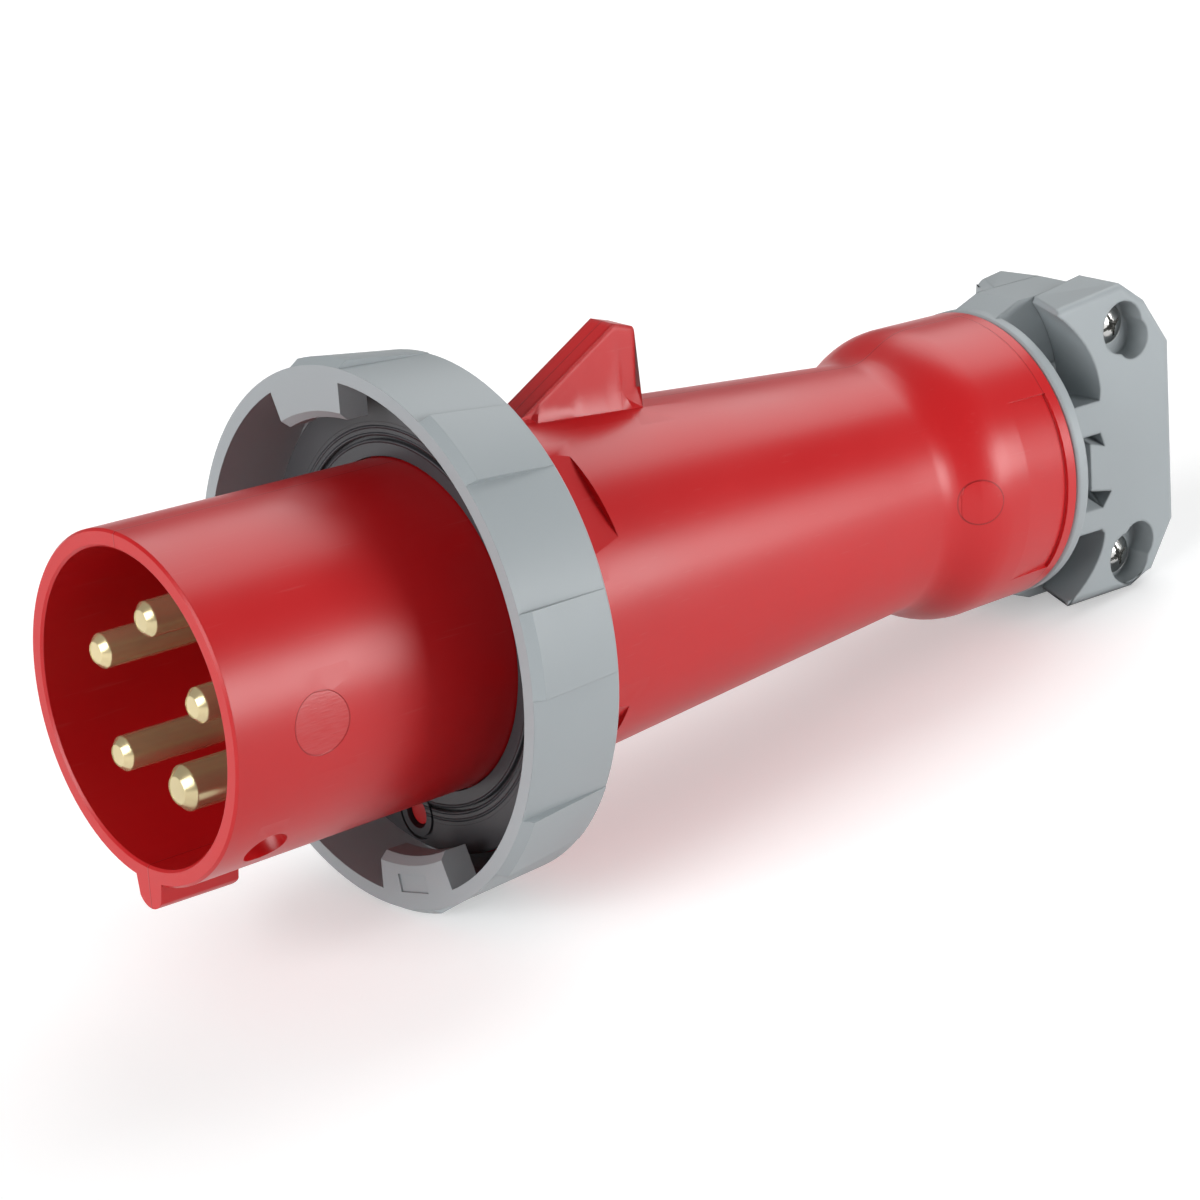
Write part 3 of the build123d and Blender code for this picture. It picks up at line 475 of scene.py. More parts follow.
def thin_outline(tree, place, base, height, colour):
    """Thin line round the handle's mark."""
    x, z, radius, _ = HANDLE_MARK
    mark = use(tree, "Round mark", place, {"Along": x * MM, "Height": z * MM,
                                           "Radius": radius * MM, "Line Width": 0.24 * MM})
    base = blend(tree, math_node(tree, "MULTIPLY", mark["Outline"], 0.55), base,
                 shade(colour, 0.3))
    return base, height


def ridges_with_painted_highlight(tree, place, base, height, colour):
    """Sealing ridges of the gasket, with a painted highlight: their crests are painted lighter."""
    start, end, pitch = GASKET_RIDGES
    ridges = use(tree, "Circle ridges", place, {"Start": start * MM, "End": end * MM,
                                                "Pitch": pitch * MM})["Height"]
    # Painted highlight: the ridge crests are painted lighter than the rubber, as if they caught
    # the light
    base = blend(tree, math_node(tree, "MULTIPLY", ridges, 0.35), base, shade(colour, 2.0))
    return base, math_node(tree, "ADD", height, math_node(tree, "MULTIPLY", ridges, 6.0))


def metal(name, colour, rough, bumps, bare=1.0):
    """Metal with lathe lines and small stains. Bare is less than 1 under a thin tarnish."""
    tree, shader, place = new_material(name)
    lines = use(tree, "Lathe lines", place)["Lines"]
    surface = use(tree, "Moulding grain", place, {"Scale": 1500.0})
    base = blend(tree, spread(tree, surface["Tone"], 0.0, 1.0), shade(colour, 0.82), colour)
    bump = put(tree, "ShaderNodeBump", {"Strength": 1.0, "Distance": bumps})
    join(tree, lines, bump.inputs["Height"])
    join(tree, base, shader.inputs["Base Color"])
    join(tree, spread(tree, lines, *rough), shader.inputs["Roughness"])
    join(tree, bump.outputs["Normal"], shader.inputs["Normal"])
    shader.inputs["Metallic"].default_value = bare


class PLUG_OT_finishes(bpy.types.Operator):
    """Makes the effect groups and the materials of the plug"""
    bl_idname = "plug.finishes"
    bl_label = "Finishes"

    def execute(self, context):
        """Makes each material once."""
        colours = context.scene.plug_colours
        for build in (grain_group, scratch_group, seam_group, lathe_group,
                      round_mark_group, ridge_group):
            build()
        sizes = context.scene.plug_sizes
        edge = sizes.edge
        red, grey = tuple(colours.red), tuple(colours.grey)
        middle = ((0.0, 1.0, 0.0), 0.0, 0.16 * MM, 1.0)
        rear_line = ((1.0, 0.0, 0.0), REAR_LINE * MM, 0.12 * MM, -1.0)
        moulded("Sleeve red", red, (0.31, 0.37), edge, 0.6, [middle], extra=rough_disc)
        moulded("Handle red", red, (0.31, 0.37), fin_and_body_edges(sizes.fin_edge, edge), 0.5,
                [middle, rear_line], extra=thin_outline)
        # Painted shade: a darker red on the block that stands deep in the shaded mouth
        moulded("Inner red", tuple(colours.inner_red_painted_shade), (0.31, 0.4), edge, 0.2)
        moulded("Satin grey", grey, (0.42, 0.52), edge, 0.4)
        moulded("Clamp grey", grey, (0.42, 0.5), sizes.clamp_edge, 0.4)
        moulded("Dull rubber", tuple(colours.rubber), (0.36, 0.46), edge, 0.3, bumps=0.00006)
        moulded("Gasket rubber", tuple(colours.rubber), (0.34, 0.42), edge, 0.3, bumps=0.00006,
                extra=ridges_with_painted_highlight)
        moulded("Satin black", tuple(colours.black), (0.35, 0.5), edge, 0.3)
        metal("Turned brass", tuple(colours.brass), (0.19, 0.25), 0.000004, 0.68)
        metal("Zinc plate", tuple(colours.zinc), (0.15, 0.25), 0.00001)
        return {"FINISHED"}


# Meshes

def new_piece(name, mesh, material, smooth_below=30.0):
    """Object of a finished mesh, smooth except at its sharp edges."""
    mesh.name = name
    mesh.shade_smooth()
    mesh.set_sharp_from_angle(angle=math.radians(smooth_below))
    mesh.materials.clear()
    mesh.materials.append(bpy.data.materials[material])
    piece = bpy.data.objects.new(name, mesh)
    bpy.context.scene.collection.objects.link(piece)
    return piece


def stand_for(piece, nodes, body):
    """The piece rides on a body in place of CAD nodes."""
    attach(piece, body)
    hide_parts(*nodes)


def flat_groups(work):
    """Groups of faces that lie in one plane and touch."""
    seen, groups = set(), []
    for first in work.faces:
        if first in seen:
            continue
        seen.add(first)
        group, waiting = [], [first]
        while waiting:
            face = waiting.pop()
            group.append(face)
            for edge in face.edges:
                for other in edge.link_faces:
                    if other not in seen and other.normal.dot(first.normal) > SAME_PLANE:
                        seen.add(other)
                        waiting.append(other)
        groups.append(group)
    return groups


def sort_faces(work):
    """Kind and plane normal of each face: turned round X, flat, or curved otherwise."""
    kinds = {}
    for group in flat_groups(work):
        normal = group[0].normal.copy()
        corners = {corner for face in group for corner in face.verts}
        turned = True
        for corner in corners:
            _, y, z = corner.co
            radius = math.hypot(y, z)
            limit = math.sqrt(FACET_SAG * MM / max(radius, 2 * MM)) + 0.01
            if radius > 0.5 * MM and abs(normal.z * y - normal.y * z) / radius > limit:
                turned = False
                break
        spans = [max(corner.co[axis] for corner in corners)
                 - min(corner.co[axis] for corner in corners) for axis in range(3)]
        wide = sum(face.calc_area() for face in group) / max(*spans, 1e-9) > FLAT_WIDTH * MM
        for face in group:
            kinds[face] = ("turned" if turned else "flat" if wide else "curved", normal)
    return kinds


def turned_normal(corner, profile):
    """Normal of a surface turned round X, from the slope of its outline."""
    _, y, z = corner.co
    radius = math.hypot(y, z)
    if radius < 0.5 * MM:
        return Vector((math.copysign(1.0, profile), 0.0, 0.0))
    out = math.cos(profile)
    return Vector((math.sin(profile), out * y / radius, out * z / radius))


def slope(face, normal):
    """Angle of a turned face's outline from the radial direction."""
    _, y, z = face.calc_center_median()
    radius = max(math.hypot(y, z), 1e-9)
    return math.atan2(normal.x, (normal.y * y + normal.z * z) / radius)


def exact_normals(work):
    """Normal of each face corner as the solid's own surface has it, not its facets."""
    kinds = sort_faces(work)
    slopes = {face: slope(face, normal) for face, (kind, normal) in kinds.items()
              if kind == "turned"}
    normals = []
    for face in work.faces:
        kind, normal = kinds[face]
        for loop in face.loops:
            around = [(other.face, other.calc_angle()) for other in loop.vert.link_loops]
            if kind == "flat":
                normals.append(normal)
            elif kind == "turned":
                total = weight = 0.0
                for other, angle in around:
                    if other in slopes:
                        turn = (slopes[other] - slopes[face] + math.pi) % math.tau - math.pi
                        if abs(turn) < SMOOTH_BELOW:
                            total += turn * angle
                            weight += angle
                mean = slopes[face] + total / max(weight, 1e-9)
                normals.append(turned_normal(loop.vert, mean))
            else:
                mean, firm = Vector(), None
                for other, angle in around:
                    other_kind, other_normal = kinds[other]
                    if other_kind == "turned":
                        other_normal = turned_normal(loop.vert, slopes[other])
                    if other_normal.dot(normal) > math.cos(SMOOTH_BELOW):
                        if other_kind != "curved" and (
                                firm is None or other_normal.dot(normal) > firm.dot(normal)):
                            firm = other_normal
                        mean += other_normal * angle
                best = firm or mean
                normals.append(best.normalized() if best.length > 0 else normal)
    return normals


def outside_radius(work, mark):
    """Radius of the outer surface at a place along X, read on the far side."""
    least = mark[3]
    found = {}
    for corner in work.verts:
        radius = math.hypot(corner.co.y, corner.co.z)
        if corner.co.y > 10 * MM and radius > least * MM:
            key = round(corner.co.x / MM, 1)
            found[key] = max(found.get(key, 0.0), radius)
    places = sorted(found)

    def radius_at(along):
        """Radius between the two nearest places that were read."""
        here = along / MM
        before = max((place for place in places if place <= here), default=places[0])
        after = min((place for place in places if place > here), default=places[-1])
        if after == before:
            return found[before]
        share = (here - before) / (after - before)
        return found[before] * (1 - share) + found[after] * share
    return radius_at


def lay_mark(work, mark, side_at):
    """Lays a new round patch over a mark on the near side. side_at gives its place in Y."""
    x, z, reach, least = mark
    centre = Vector((x * MM, z * MM))

    def away(corner):
        """Distance of a corner from the mark's middle, seen from the side."""
        return (Vector((corner.co.x, corner.co.z)) - centre).length

    inside = {face for face in work.faces
              if all(away(corner) < (reach + 0.03) * MM and corner.co.y < -least * MM
                     for corner in face.verts)}
    rim = {corner for face in inside for edge in face.edges
           if any(other not in inside for other in edge.link_faces) for corner in edge.verts}
    rim = sorted(rim, key=lambda corner: math.atan2(corner.co.z - centre.y,
                                                    corner.co.x - centre.x))
    bmesh.ops.delete(work, geom=list(inside), context="FACES")
    rows = [rim]
    for share in (0.975, 0.75, 0.5, 0.25):
        row = []
        for corner in rim:
            flat = centre + (Vector((corner.co.x, corner.co.z)) - centre) * share
            row.append(work.verts.new((flat.x, side_at(flat.x, flat.y), flat.y)))
        rows.append(row)
    middle = work.verts.new((centre.x, side_at(centre.x, centre.y), centre.y))
    made = []
    for place in range(len(rim)):
        after = (place + 1) % len(rim)
        for outer, inner in zip(rows, rows[1:]):
            made.append(work.faces.new((outer[place], inner[place], inner[after], outer[after])))
        made.append(work.faces.new((rows[-1][place], middle, rows[-1][after])))
    work.normal_update()
    if made[-1].normal.y > 0:
        bmesh.ops.reverse_faces(work, faces=made)
    loose = [corner for corner in work.verts if not corner.link_faces]
    bmesh.ops.delete(work, geom=loose, context="VERTS")


def turn_studs(corner):
    """Turns a corner of the gasket or its studs to where the plug shows them."""
    _, y, z = corner.co
    upright = max(z, 0.0) / math.hypot(y, z)
    turn = math.radians(STUD_TURN + FIRST_STUD_TURN * upright ** 2)
    corner.co.y = y * math.cos(turn) - z * math.sin(turn)
    corner.co.z = y * math.sin(turn) + z * math.cos(turn)


def square_fin(work):
    """Makes the thumb fin a plate of even thickness with an upright rear edge."""
    fall = (WAIST[1] - NECK[1]) / (WAIST[0] - NECK[0])

    def body_radius(x):
        """Radius of the handle's cone at a place along X."""
        return NECK[1] + (x - NECK[0]) * fall

    crest, root = [], []
    for corner in work.verts:
        x, y, z = corner.co / MM
        if z < FIN_LOW or abs(y) > FIN_REACH or not FIN_FOOT - 0.5 < x < FIN_END:
            continue
        above = math.hypot(y, z) - body_radius(x)
        out = Vector((0.0, y, z)).normalized()
        if above > 0.06:
            crest.append(corner)
        elif above > -0.3 and any(face.normal.dot(out) < 0.93 for face in corner.link_faces):
            root.append(corner)
    for corner in crest + root:
        x, y, z = corner.co / MM
        if x < FIN_RIDGE:
            x += FIN_FRONT_SHIFT * (FIN_RIDGE - x) / (FIN_RIDGE - FIN_FOOT)
        else:
            share = (x - FIN_RIDGE) / (FIN_SOLID_REAR - FIN_RIDGE)
            x = FIN_RIDGE + (FIN_REAR - FIN_RIDGE) * share
        on_crest = corner in crest
        if abs(y) > 0.6:
            y = math.copysign(FIN_HALF if on_crest else FIN_FOOT_HALF, y)
        if not on_crest:
            z = math.sqrt(body_radius(x) ** 2 - y ** 2)
        corner.co = Vector((x, y, z)) * MM


def slim_collar(work):
    """Makes the clamp collar's rim thinner."""
    for corner in work.verts:
        x, y, z = corner.co / MM
        on_rim = COLLAR_REAR - 2.0 < x < COLLAR_REAR + 0.1
        if on_rim and math.hypot(y, z) > COLLAR_RIM_RADIUS:
            corner.co.x -= COLLAR_CUT * MM


def scoop_share(z):
    """How far a height lies along the jaws' scoops, from 0 to 1."""
    return min((abs(z) - SCOOP_START) / (SCOOP_END - SCOOP_START), 1.0)


def shape_near_jaw(work):
    """Sets the near jaw's front edge: two notches, their tongue, the feet and both horns."""
    foot = JAW_FOOT - COLLAR_CUT
    front = {(234.8, 4.0): (236.5, 2.3), (234.8, -4.0): (236.5, -8.5),
             (240.8, 5.2): (241.0, 0.8), (240.8, -5.2): (242.6, -9.7),
             (238.8, 7.2): (239.8, 4.1), (238.8, -7.2): (239.8, -13.0),
             (JAW_FOOT, 7.6): (foot, 4.2), (JAW_FOOT, -7.6): (foot, -12.8),
             (JAW_FOOT, SCOOP_START): (foot, 11.4),
             (JAW_FOOT, -SCOOP_START): (foot, -LOW_SCOOP_START),
             (240.2, SCOOP_START): (239.8, 11.5),
             (240.2, -SCOOP_START): (239.2, -LOW_SCOOP_START)}
    for corner in work.verts:
        x, y, z = corner.co / MM
        from_screw = math.hypot(x - CLAMP_SCREW_X, abs(z) - CLAMP_SCREW_Z)
        moved = next((new for old, new in front.items()
                      if abs(x - old[0]) < 0.1 and abs(z - old[1]) < 0.1), None)
        if moved:
            x, z = moved
        elif abs(z) > SCOOP_START + 0.1 and x < SCOOP_REAR:
            share = scoop_share(z)
            if y < -JAW_SIDE:
                x -= NEAR_HORN_LEAN * share ** 2
            if -SCOOP_END - 0.05 < z < 0:
                z = -LOW_SCOOP_START - (SCOOP_END - LOW_SCOOP_START) * share
        elif x > NEAR_CROWN[0] and z > NEAR_CROWN[1] and from_screw >= CLAMP_POCKET_RADIUS:
            z += CROWN_RISE
        if z < LOW_END:
            z += LOW_END_RISE
        corner.co = Vector((x, y, z)) * MM


def shape_far_jaw(work):
    """Cuts back the far jaw's horns and brings its feet up to the collar."""
    for corner in work.verts:
        x, y, z = corner.co / MM
        if abs(x - JAW_FOOT) < 0.1:
            x -= COLLAR_CUT
        elif abs(z) > SCOOP_START + 0.1 and x < SCOOP_REAR and y > JAW_SIDE:
            x += FAR_HORN_CUT * scoop_share(z) ** 2
        if y > JAW_SIDE and abs(z) > JAW_HEIGHT - 1.7 and x < FAR_CROWN[1]:
            fall = FAR_CROWN_FALL[0] if x < FAR_CROWN[0] else FAR_CROWN_FALL[1]
            z -= math.copysign(fall * (y - JAW_SIDE), z)
        corner.co = Vector((x, y, z)) * MM


def skin(name, node, material, body, mend=None):
    """Makes a smooth piece in the shape of a CAD node, which mend may change a little."""
    work = bmesh.new()
    work.from_mesh(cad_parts[node].data)
    bmesh.ops.remove_doubles(work, verts=work.verts, dist=0.002 * MM)
    bmesh.ops.dissolve_degenerate(work, dist=0.001 * MM, edges=work.edges)
    if mend:
        mend(work)
    work.normal_update()
    normals = exact_normals(work)
    mesh = bpy.data.meshes.new(name)
    work.to_mesh(mesh)
    work.free()
    piece = new_piece(name, mesh, material, 180.0)
    mesh.normals_split_custom_set(normals)
    stand_for(piece, [node], body)


def rounded(outline, radius, steps=4):
    """Closed outline of (x, r) points with its corners rounded."""
    result = []
    count = len(outline)
    for place in range(count):
        before, here, after = (Vector(outline[(place + shift) % count]) for shift in (-1, 0, 1))
        back, ahead = before - here, after - here
        if back.length < 1e-9 or ahead.length < 1e-9:
            continue
        reach = min(radius, back.length * 0.45, ahead.length * 0.45)
        start, end = here + back.normalized() * reach, here + ahead.normalized() * reach
        if here.y < 1e-7:
            result.append(tuple(here))
            continue
        for step in range(steps + 1):
            share = step / steps
            result.append(tuple(start.lerp(here, share).lerp(here.lerp(end, share), share)))
    return result


def lathe(outline, segments=96):
    """Mesh turned round the X axis from an outline whose ends lie on the axis."""
    work = bmesh.new()
    columns = []
    for part in range(segments):
        turn = 2 * math.pi * part / segments
        columns.append([work.verts.new((x, -r * math.sin(turn), r * math.cos(turn)))
                        for x, r in outline if r > 1e-7])
    ends = [work.verts.new((x, 0.0, 0.0)) for x, r in (outline[0], outline[-1])]
    for part in range(segments):
        near, far = columns[part], columns[(part + 1) % segments]
        for row in range(len(near) - 1):
            work.faces.new((near[row], near[row + 1], far[row + 1], far[row]))
        work.faces.new((ends[0], near[0], far[0]))
        work.faces.new((ends[1], far[-1], near[-1]))
    bmesh.ops.recalc_face_normals(work, faces=work.faces)
    mesh = bpy.data.meshes.new("turned")
    work.to_mesh(mesh)
    work.free()
    return mesh


def pan_head_screw(radius, body):
    """Pan-head screw with a cross recess: seat at the origin, head towards +X."""
    height, shank, length = (value * MM for value in body)
    rim = height * 0.45
    dome = [(height - (height - rim) * (share / 12) ** 2, radius * 0.96 * share / 12)
            for share in range(13)]
    outline = dome + rounded([(rim, radius), (0.0, radius), (0.0, shank), (-length, shank),
                              (-length - shank * 0.4, shank * 0.6)], 0.25 * MM)[1:]
    outline.append((-length - shank * 0.4, 0.0))
    head = bpy.data.objects.new("screw", lathe(outline, 64))
    cutter = bmesh.new()
    for turn in (0.0, math.pi / 2):
        for wide, tall in ((1.25, 0.17), (0.6, 0.3)):
            place = Matrix.Translation((height * 1.02, 0.0, 0.0)) @ Matrix.Rotation(turn, 4, "X")
            size = Matrix.Diagonal((height * (1.1 if wide > 1 else 1.5), radius * wide,
                                    radius * tall, 1.0))
            bmesh.ops.create_cube(cutter, size=1.0, matrix=place @ size)
    tool_mesh = bpy.data.meshes.new("recess")
    cutter.to_mesh(tool_mesh)
    cutter.free()
    return cut(head, bpy.data.objects.new("recess", tool_mesh))


def cut(piece, tool):
    """Takes the tool's shape out of the piece and returns the mesh that is left."""
    for thing in (piece, tool):
        bpy.context.scene.collection.objects.link(thing)
    step = piece.modifiers.new("cut", "BOOLEAN")
    step.object = tool
    step.operation = "DIFFERENCE"
    step.solver = "EXACT"
    step.use_self = True
    mesh = plain_mesh(piece)
    for thing in (piece, tool):
        bpy.data.objects.remove(thing, do_unlink=True)
    return mesh


def plain_mesh(piece):
    """Mesh of an object as its modifiers make it."""
    bpy.context.view_layer.update()
    settled = piece.evaluated_get(bpy.context.evaluated_depsgraph_get())
    return bpy.data.meshes.new_from_object(settled)


def circle_copies_tree():
    """Geometry Nodes tree that repeats a mesh round the X axis."""
    tree = bpy.data.node_groups.new("Copies on a circle", "GeometryNodeTree")
    for label, kind, default in (
            ("Geometry", "NodeSocketGeometry", None), ("Count", "NodeSocketInt", 4),
            ("Radius", "NodeSocketFloat", 0.02), ("First Angle", "NodeSocketFloat", 0.0),
            ("Left Out", "NodeSocketInt", -1), ("Follow", "NodeSocketFloat", 1.0),
            ("Material", "NodeSocketMaterial", None)):
        socket = tree.interface.new_socket(label, in_out="INPUT", socket_type=kind)
        if default is not None:
            socket.default_value = default
    tree.interface.new_socket("Geometry", in_out="OUTPUT", socket_type="NodeSocketGeometry")
    given = tree.nodes.new("NodeGroupInput").outputs
    index = tree.nodes.new("GeometryNodeInputIndex").outputs[0]
    step = math_node(tree, "DIVIDE", 2 * math.pi, given["Count"])
    angle = math_node(tree, "ADD", math_node(tree, "MULTIPLY", index, step), given["First Angle"])
    side = math_node(tree, "MULTIPLY", math_node(tree, "SINE", angle), given["Radius"])
    up = math_node(tree, "MULTIPLY", math_node(tree, "COSINE", angle), given["Radius"])
    place = put(tree, "ShaderNodeCombineXYZ")
    join(tree, math_node(tree, "MULTIPLY", side, -1.0), place.inputs["Y"])
    join(tree, up, place.inputs["Z"])
    points = put(tree, "GeometryNodePoints")
    join(tree, given["Count"], points.inputs["Count"])
    join(tree, place.outputs[0], points.inputs["Position"])
    same = put(tree, "FunctionNodeCompare", data_type="INT", operation="EQUAL")
    join(tree, index, same.inputs[2])
    join(tree, given["Left Out"], same.inputs[3])
    kept = put(tree, "GeometryNodeDeleteGeometry", domain="POINT")
    join(tree, points.outputs[0], kept.inputs["Geometry"])
    join(tree, same.outputs[0], kept.inputs["Selection"])
    turn = put(tree, "ShaderNodeCombineXYZ")
    join(tree, math_node(tree, "MULTIPLY", angle, given["Follow"]), turn.inputs["X"])
    copies = put(tree, "GeometryNodeInstanceOnPoints")
    join(tree, kept.outputs[0], copies.inputs["Points"])
    join(tree, given["Geometry"], copies.inputs["Instance"])
    join(tree, turn.outputs[0], copies.inputs["Rotation"])
    real = put(tree, "GeometryNodeRealizeInstances")
    join(tree, copies.outputs[0], real.inputs[0])
    coat = put(tree, "GeometryNodeSetMaterial")
    join(tree, real.outputs[0], coat.inputs["Geometry"])
    join(tree, given["Material"], coat.inputs["Material"])
    join(tree, coat.outputs[0], tree.nodes.new("NodeGroupOutput").inputs[0])
    return tree


def copies_on_circle(name, mesh, material, **values):
    """Plain mesh of copies that the circle tree makes of one mesh."""
    tree = bpy.data.node_groups.get("Copies on a circle") or circle_copies_tree()
    master = bpy.data.objects.new(name, mesh)
    bpy.context.scene.collection.objects.link(master)
    step = master.modifiers.new("copies", "NODES")
    step.node_group = tree
    values["Material"] = bpy.data.materials[material]
    for item in tree.interface.items_tree:
        if item.in_out == "INPUT" and item.name in values:
            step[item.identifier] = values[item.name]
    result = plain_mesh(master)
    bpy.data.objects.remove(master, do_unlink=True)
    return result


# The plug's pieces

class PLUG_OT_front_housing(bpy.types.Operator):
    """Sleeve with its key, the flange and the hub behind it"""
    bl_idname = "plug.front_housing"
    bl_label = "Front housing"

    def execute(self, context):
        """Dresses the front housing."""
        depth = context.scene.plug_sizes.sleeve_mark

        def mark_and_studs(work):
            """Lays the round mark nearly flush and turns the studs."""
            radius_at = outside_radius(work, SLEEVE_MARK)
            lay_mark(work, SLEEVE_MARK, lambda x, z: -math.sqrt(
                (radius_at(x) - depth) ** 2 - z ** 2))
            for corner in work.verts:
                x, y, z = corner.co / MM
                aside, along = sorted((abs(y), abs(z)))
                away = math.hypot(aside, along - SCREW_CIRCLE)
                if 50.0 < x < STUD_FOOT and away < STUD_RADIUS:
                    turn_studs(corner)

        skin("sleeve_housing", "front_housing", "Sleeve red", "housing",
             mark_and_studs)
        return {"FINISHED"}


class PLUG_OT_gasket(bpy.types.Operator):
    """Rubber gasket in front of the flange"""
    bl_idname = "plug.gasket"
    bl_label = "Gasket"

    def execute(self, context):
        """Dresses the gasket."""
        def turned(work):
            """Turns the gasket's corners with the studs."""
            for corner in work.verts:
                turn_studs(corner)

        skin("flange_gasket_skin", "flange_gasket", "Gasket rubber", "housing",
             turned)
        return {"FINISHED"}


class PLUG_OT_lock_ring(bpy.types.Operator):
    """Locking ring with its lugs and grip pads"""
    bl_idname = "plug.lock_ring"
    bl_label = "Locking ring"

    def execute(self, context):
        """Dresses the locking ring."""
        skin("bayonet_ring", "lock_ring", "Satin grey", "ring")
        return {"FINISHED"}


class PLUG_OT_pins(bpy.types.Operator):
    """Five turned pins with their collars and terminals"""
    bl_idname = "plug.pins"
    bl_label = "Pins"

    def pin(self, radius, tip, rear):
        """Turned pin along X on the axis, from its tip to the rear of its terminal."""
        bevel = radius * PIN_BEVEL
        seat, growth = (value * MM for value in PIN_SEAT)
        collar, thickness, collar_radius = (value * MM for value in PIN_COLLAR)
        hole, depth = (value * MM for value in WIRE_HOLE)
        stem = TERMINAL_RADIUS * MM
        shape = [(tip, radius - bevel), (tip + bevel, radius), (seat, radius),
                 (seat, radius + growth), (collar, radius + growth), (collar, collar_radius),
                 (collar + thickness, collar_radius), (collar + thickness, stem), (rear, stem),
                 (rear, hole), (rear - depth, hole)]
        outline = [(tip, 0.0)] + rounded(shape, 0.25 * MM) + [(rear - depth, 0.0)]
        return lathe(outline, 96)

    def execute(self, context):
        """Turns the earth pin, and copies one phase pin round the axis."""
        sizes = context.scene.plug_sizes
        low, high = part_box("pin_earth")
        earth = self.pin(sizes.earth_pin, low.x, high.x)
        turn = math.radians(EARTH_ANGLE)
        earth.transform(Matrix.Translation((0.0, -PIN_CIRCLE * MM * math.sin(turn),
                                            PIN_CIRCLE * MM * math.cos(turn))))
        stand_for(new_piece("earth_pin", earth, "Turned brass"), ["pin_earth"], "housing")
        phase = self.pin(sizes.phase_pin, low.x, high.x)
        mesh = copies_on_circle("phase_pins", phase, "Turned brass", **{
            "Count": 5, "Radius": PIN_CIRCLE * MM, "First Angle": turn, "Left Out": 0})
        stand_for(new_piece("phase_pins", mesh, "Turned brass"),
                  ["pin_phase_1", "pin_phase_2", "pin_phase_3", "pin_neutral"],
                  "housing")
        return {"FINISHED"}


class PLUG_OT_contact_block(bpy.types.Operator):
    """Block that the pins stand in, with the plates and screws behind it"""
    bl_idname = "plug.contact_block"
    bl_label = "Contact block"

    def execute(self, context):
        """Dresses the block and colours the parts that stay inside."""
        skin("contact_block", "contact_carrier", "Inner red", "housing")
        for node, material, slot in (
                ("contact_retainer", "Satin black", "black_plastic"),
                ("terminal_barrier", "Satin black", "black_plastic"),
                ("retainer_screws", "Zinc plate", "zinc_steel"),
                ("terminal_screws", "Zinc plate", "zinc_steel"),
                ("body_seal", "Dull rubber", "black_rubber")):
            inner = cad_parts[node]
            inner.data.materials.clear()
            inner.data.materials.append(bpy.data.materials[material])
        return {"FINISHED"}


class PLUG_OT_handle(bpy.types.Operator):
    """Tapered handle with its thumb fin, screw flats and flared rear"""
    bl_idname = "plug.handle"
    bl_label = "Handle"

    def execute(self, context):
        """Dresses the handle."""
        rise = context.scene.plug_sizes.handle_mark

        def fin_and_mark(work):
            """Squares the thumb fin and lays the round mark."""
            square_fin(work)
            radius_at = outside_radius(work, HANDLE_MARK)
            lay_mark(work, HANDLE_MARK, lambda x, z: -math.sqrt(
                (radius_at(x) + rise) ** 2 - z ** 2))

        skin("handle", "rear_body", "Handle red", "housing", fin_and_mark)
        return {"FINISHED"}


class PLUG_OT_screws(bpy.types.Operator):
    """Screws behind the shoulder and in the cable clamp"""
    bl_idname = "plug.screws"
    bl_label = "Screws"

    def execute(self, context):
        """Copies one screw round the shoulder, and another into the clamp's pockets."""
        sizes = context.scene.plug_sizes
        screw = pan_head_screw(sizes.screw_head, SHOULDER_SCREW)
        screw.transform(Matrix.Translation((SHOULDER_REAR * MM, 0.0, 0.0)))
        mesh = copies_on_circle("shoulder_screws", screw, "Zinc plate", **{
            "Count": 4, "Radius": SCREW_CIRCLE * MM, "First Angle": math.radians(45.0)})
        stand_for(new_piece("shoulder_screws", mesh, "Zinc plate"), ["assembly_screws"],
                  "housing")
        screw = pan_head_screw(sizes.clamp_head, CLAMP_SCREW)
        screw.transform(Matrix.Translation((CLAMP_SCREW_X * MM, CLAMP_SCREW_SEAT * MM, 0.0))
                        @ Matrix.Rotation(math.radians(-90.0), 4, "Z")
                        @ Matrix.Rotation(math.radians(CLAMP_SCREW_TURN), 4, "X"))
        mesh = copies_on_circle("clamp_screw_pair", screw, "Zinc plate", **{
            "Count": 2, "Radius": CLAMP_SCREW_Z * MM, "Follow": 0.0})
        stand_for(new_piece("clamp_screw_pair", mesh, "Zinc plate"), ["clamp_screws"],
                  "jaw")
        return {"FINISHED"}


class PLUG_OT_cable_entry(bpy.types.Operator):
    """Grommet and slip washer inside the handle's rear"""
    bl_idname = "plug.cable_entry"
    bl_label = "Cable entry"

    def execute(self, context):
        """Dresses grommet and washer."""
        skin("grommet", "cable_grommet", "Dull rubber", "housing")
        skin("washer", "slip_washer", "Satin black", "housing")
        return {"FINISHED"}


class PLUG_OT_clamp(bpy.types.Operator):
    """Cable clamp: the collar with its posts, two jaws and the nuts"""
    bl_idname = "plug.clamp"
    bl_label = "Cable clamp"

    def execute(self, context):
        """Dresses the clamp."""
        skin("clamp_collar_skin", "clamp_collar", "Clamp grey", "housing",
             slim_collar)
        skin("near_jaw_skin", "near_jaw", "Clamp grey", "jaw",
             shape_near_jaw)
        skin("far_jaw_skin", "far_jaw", "Clamp grey", "housing",
             shape_far_jaw)
        skin("nuts", "clamp_nuts", "Zinc plate", "housing")
        return {"FINISHED"}


# The studio

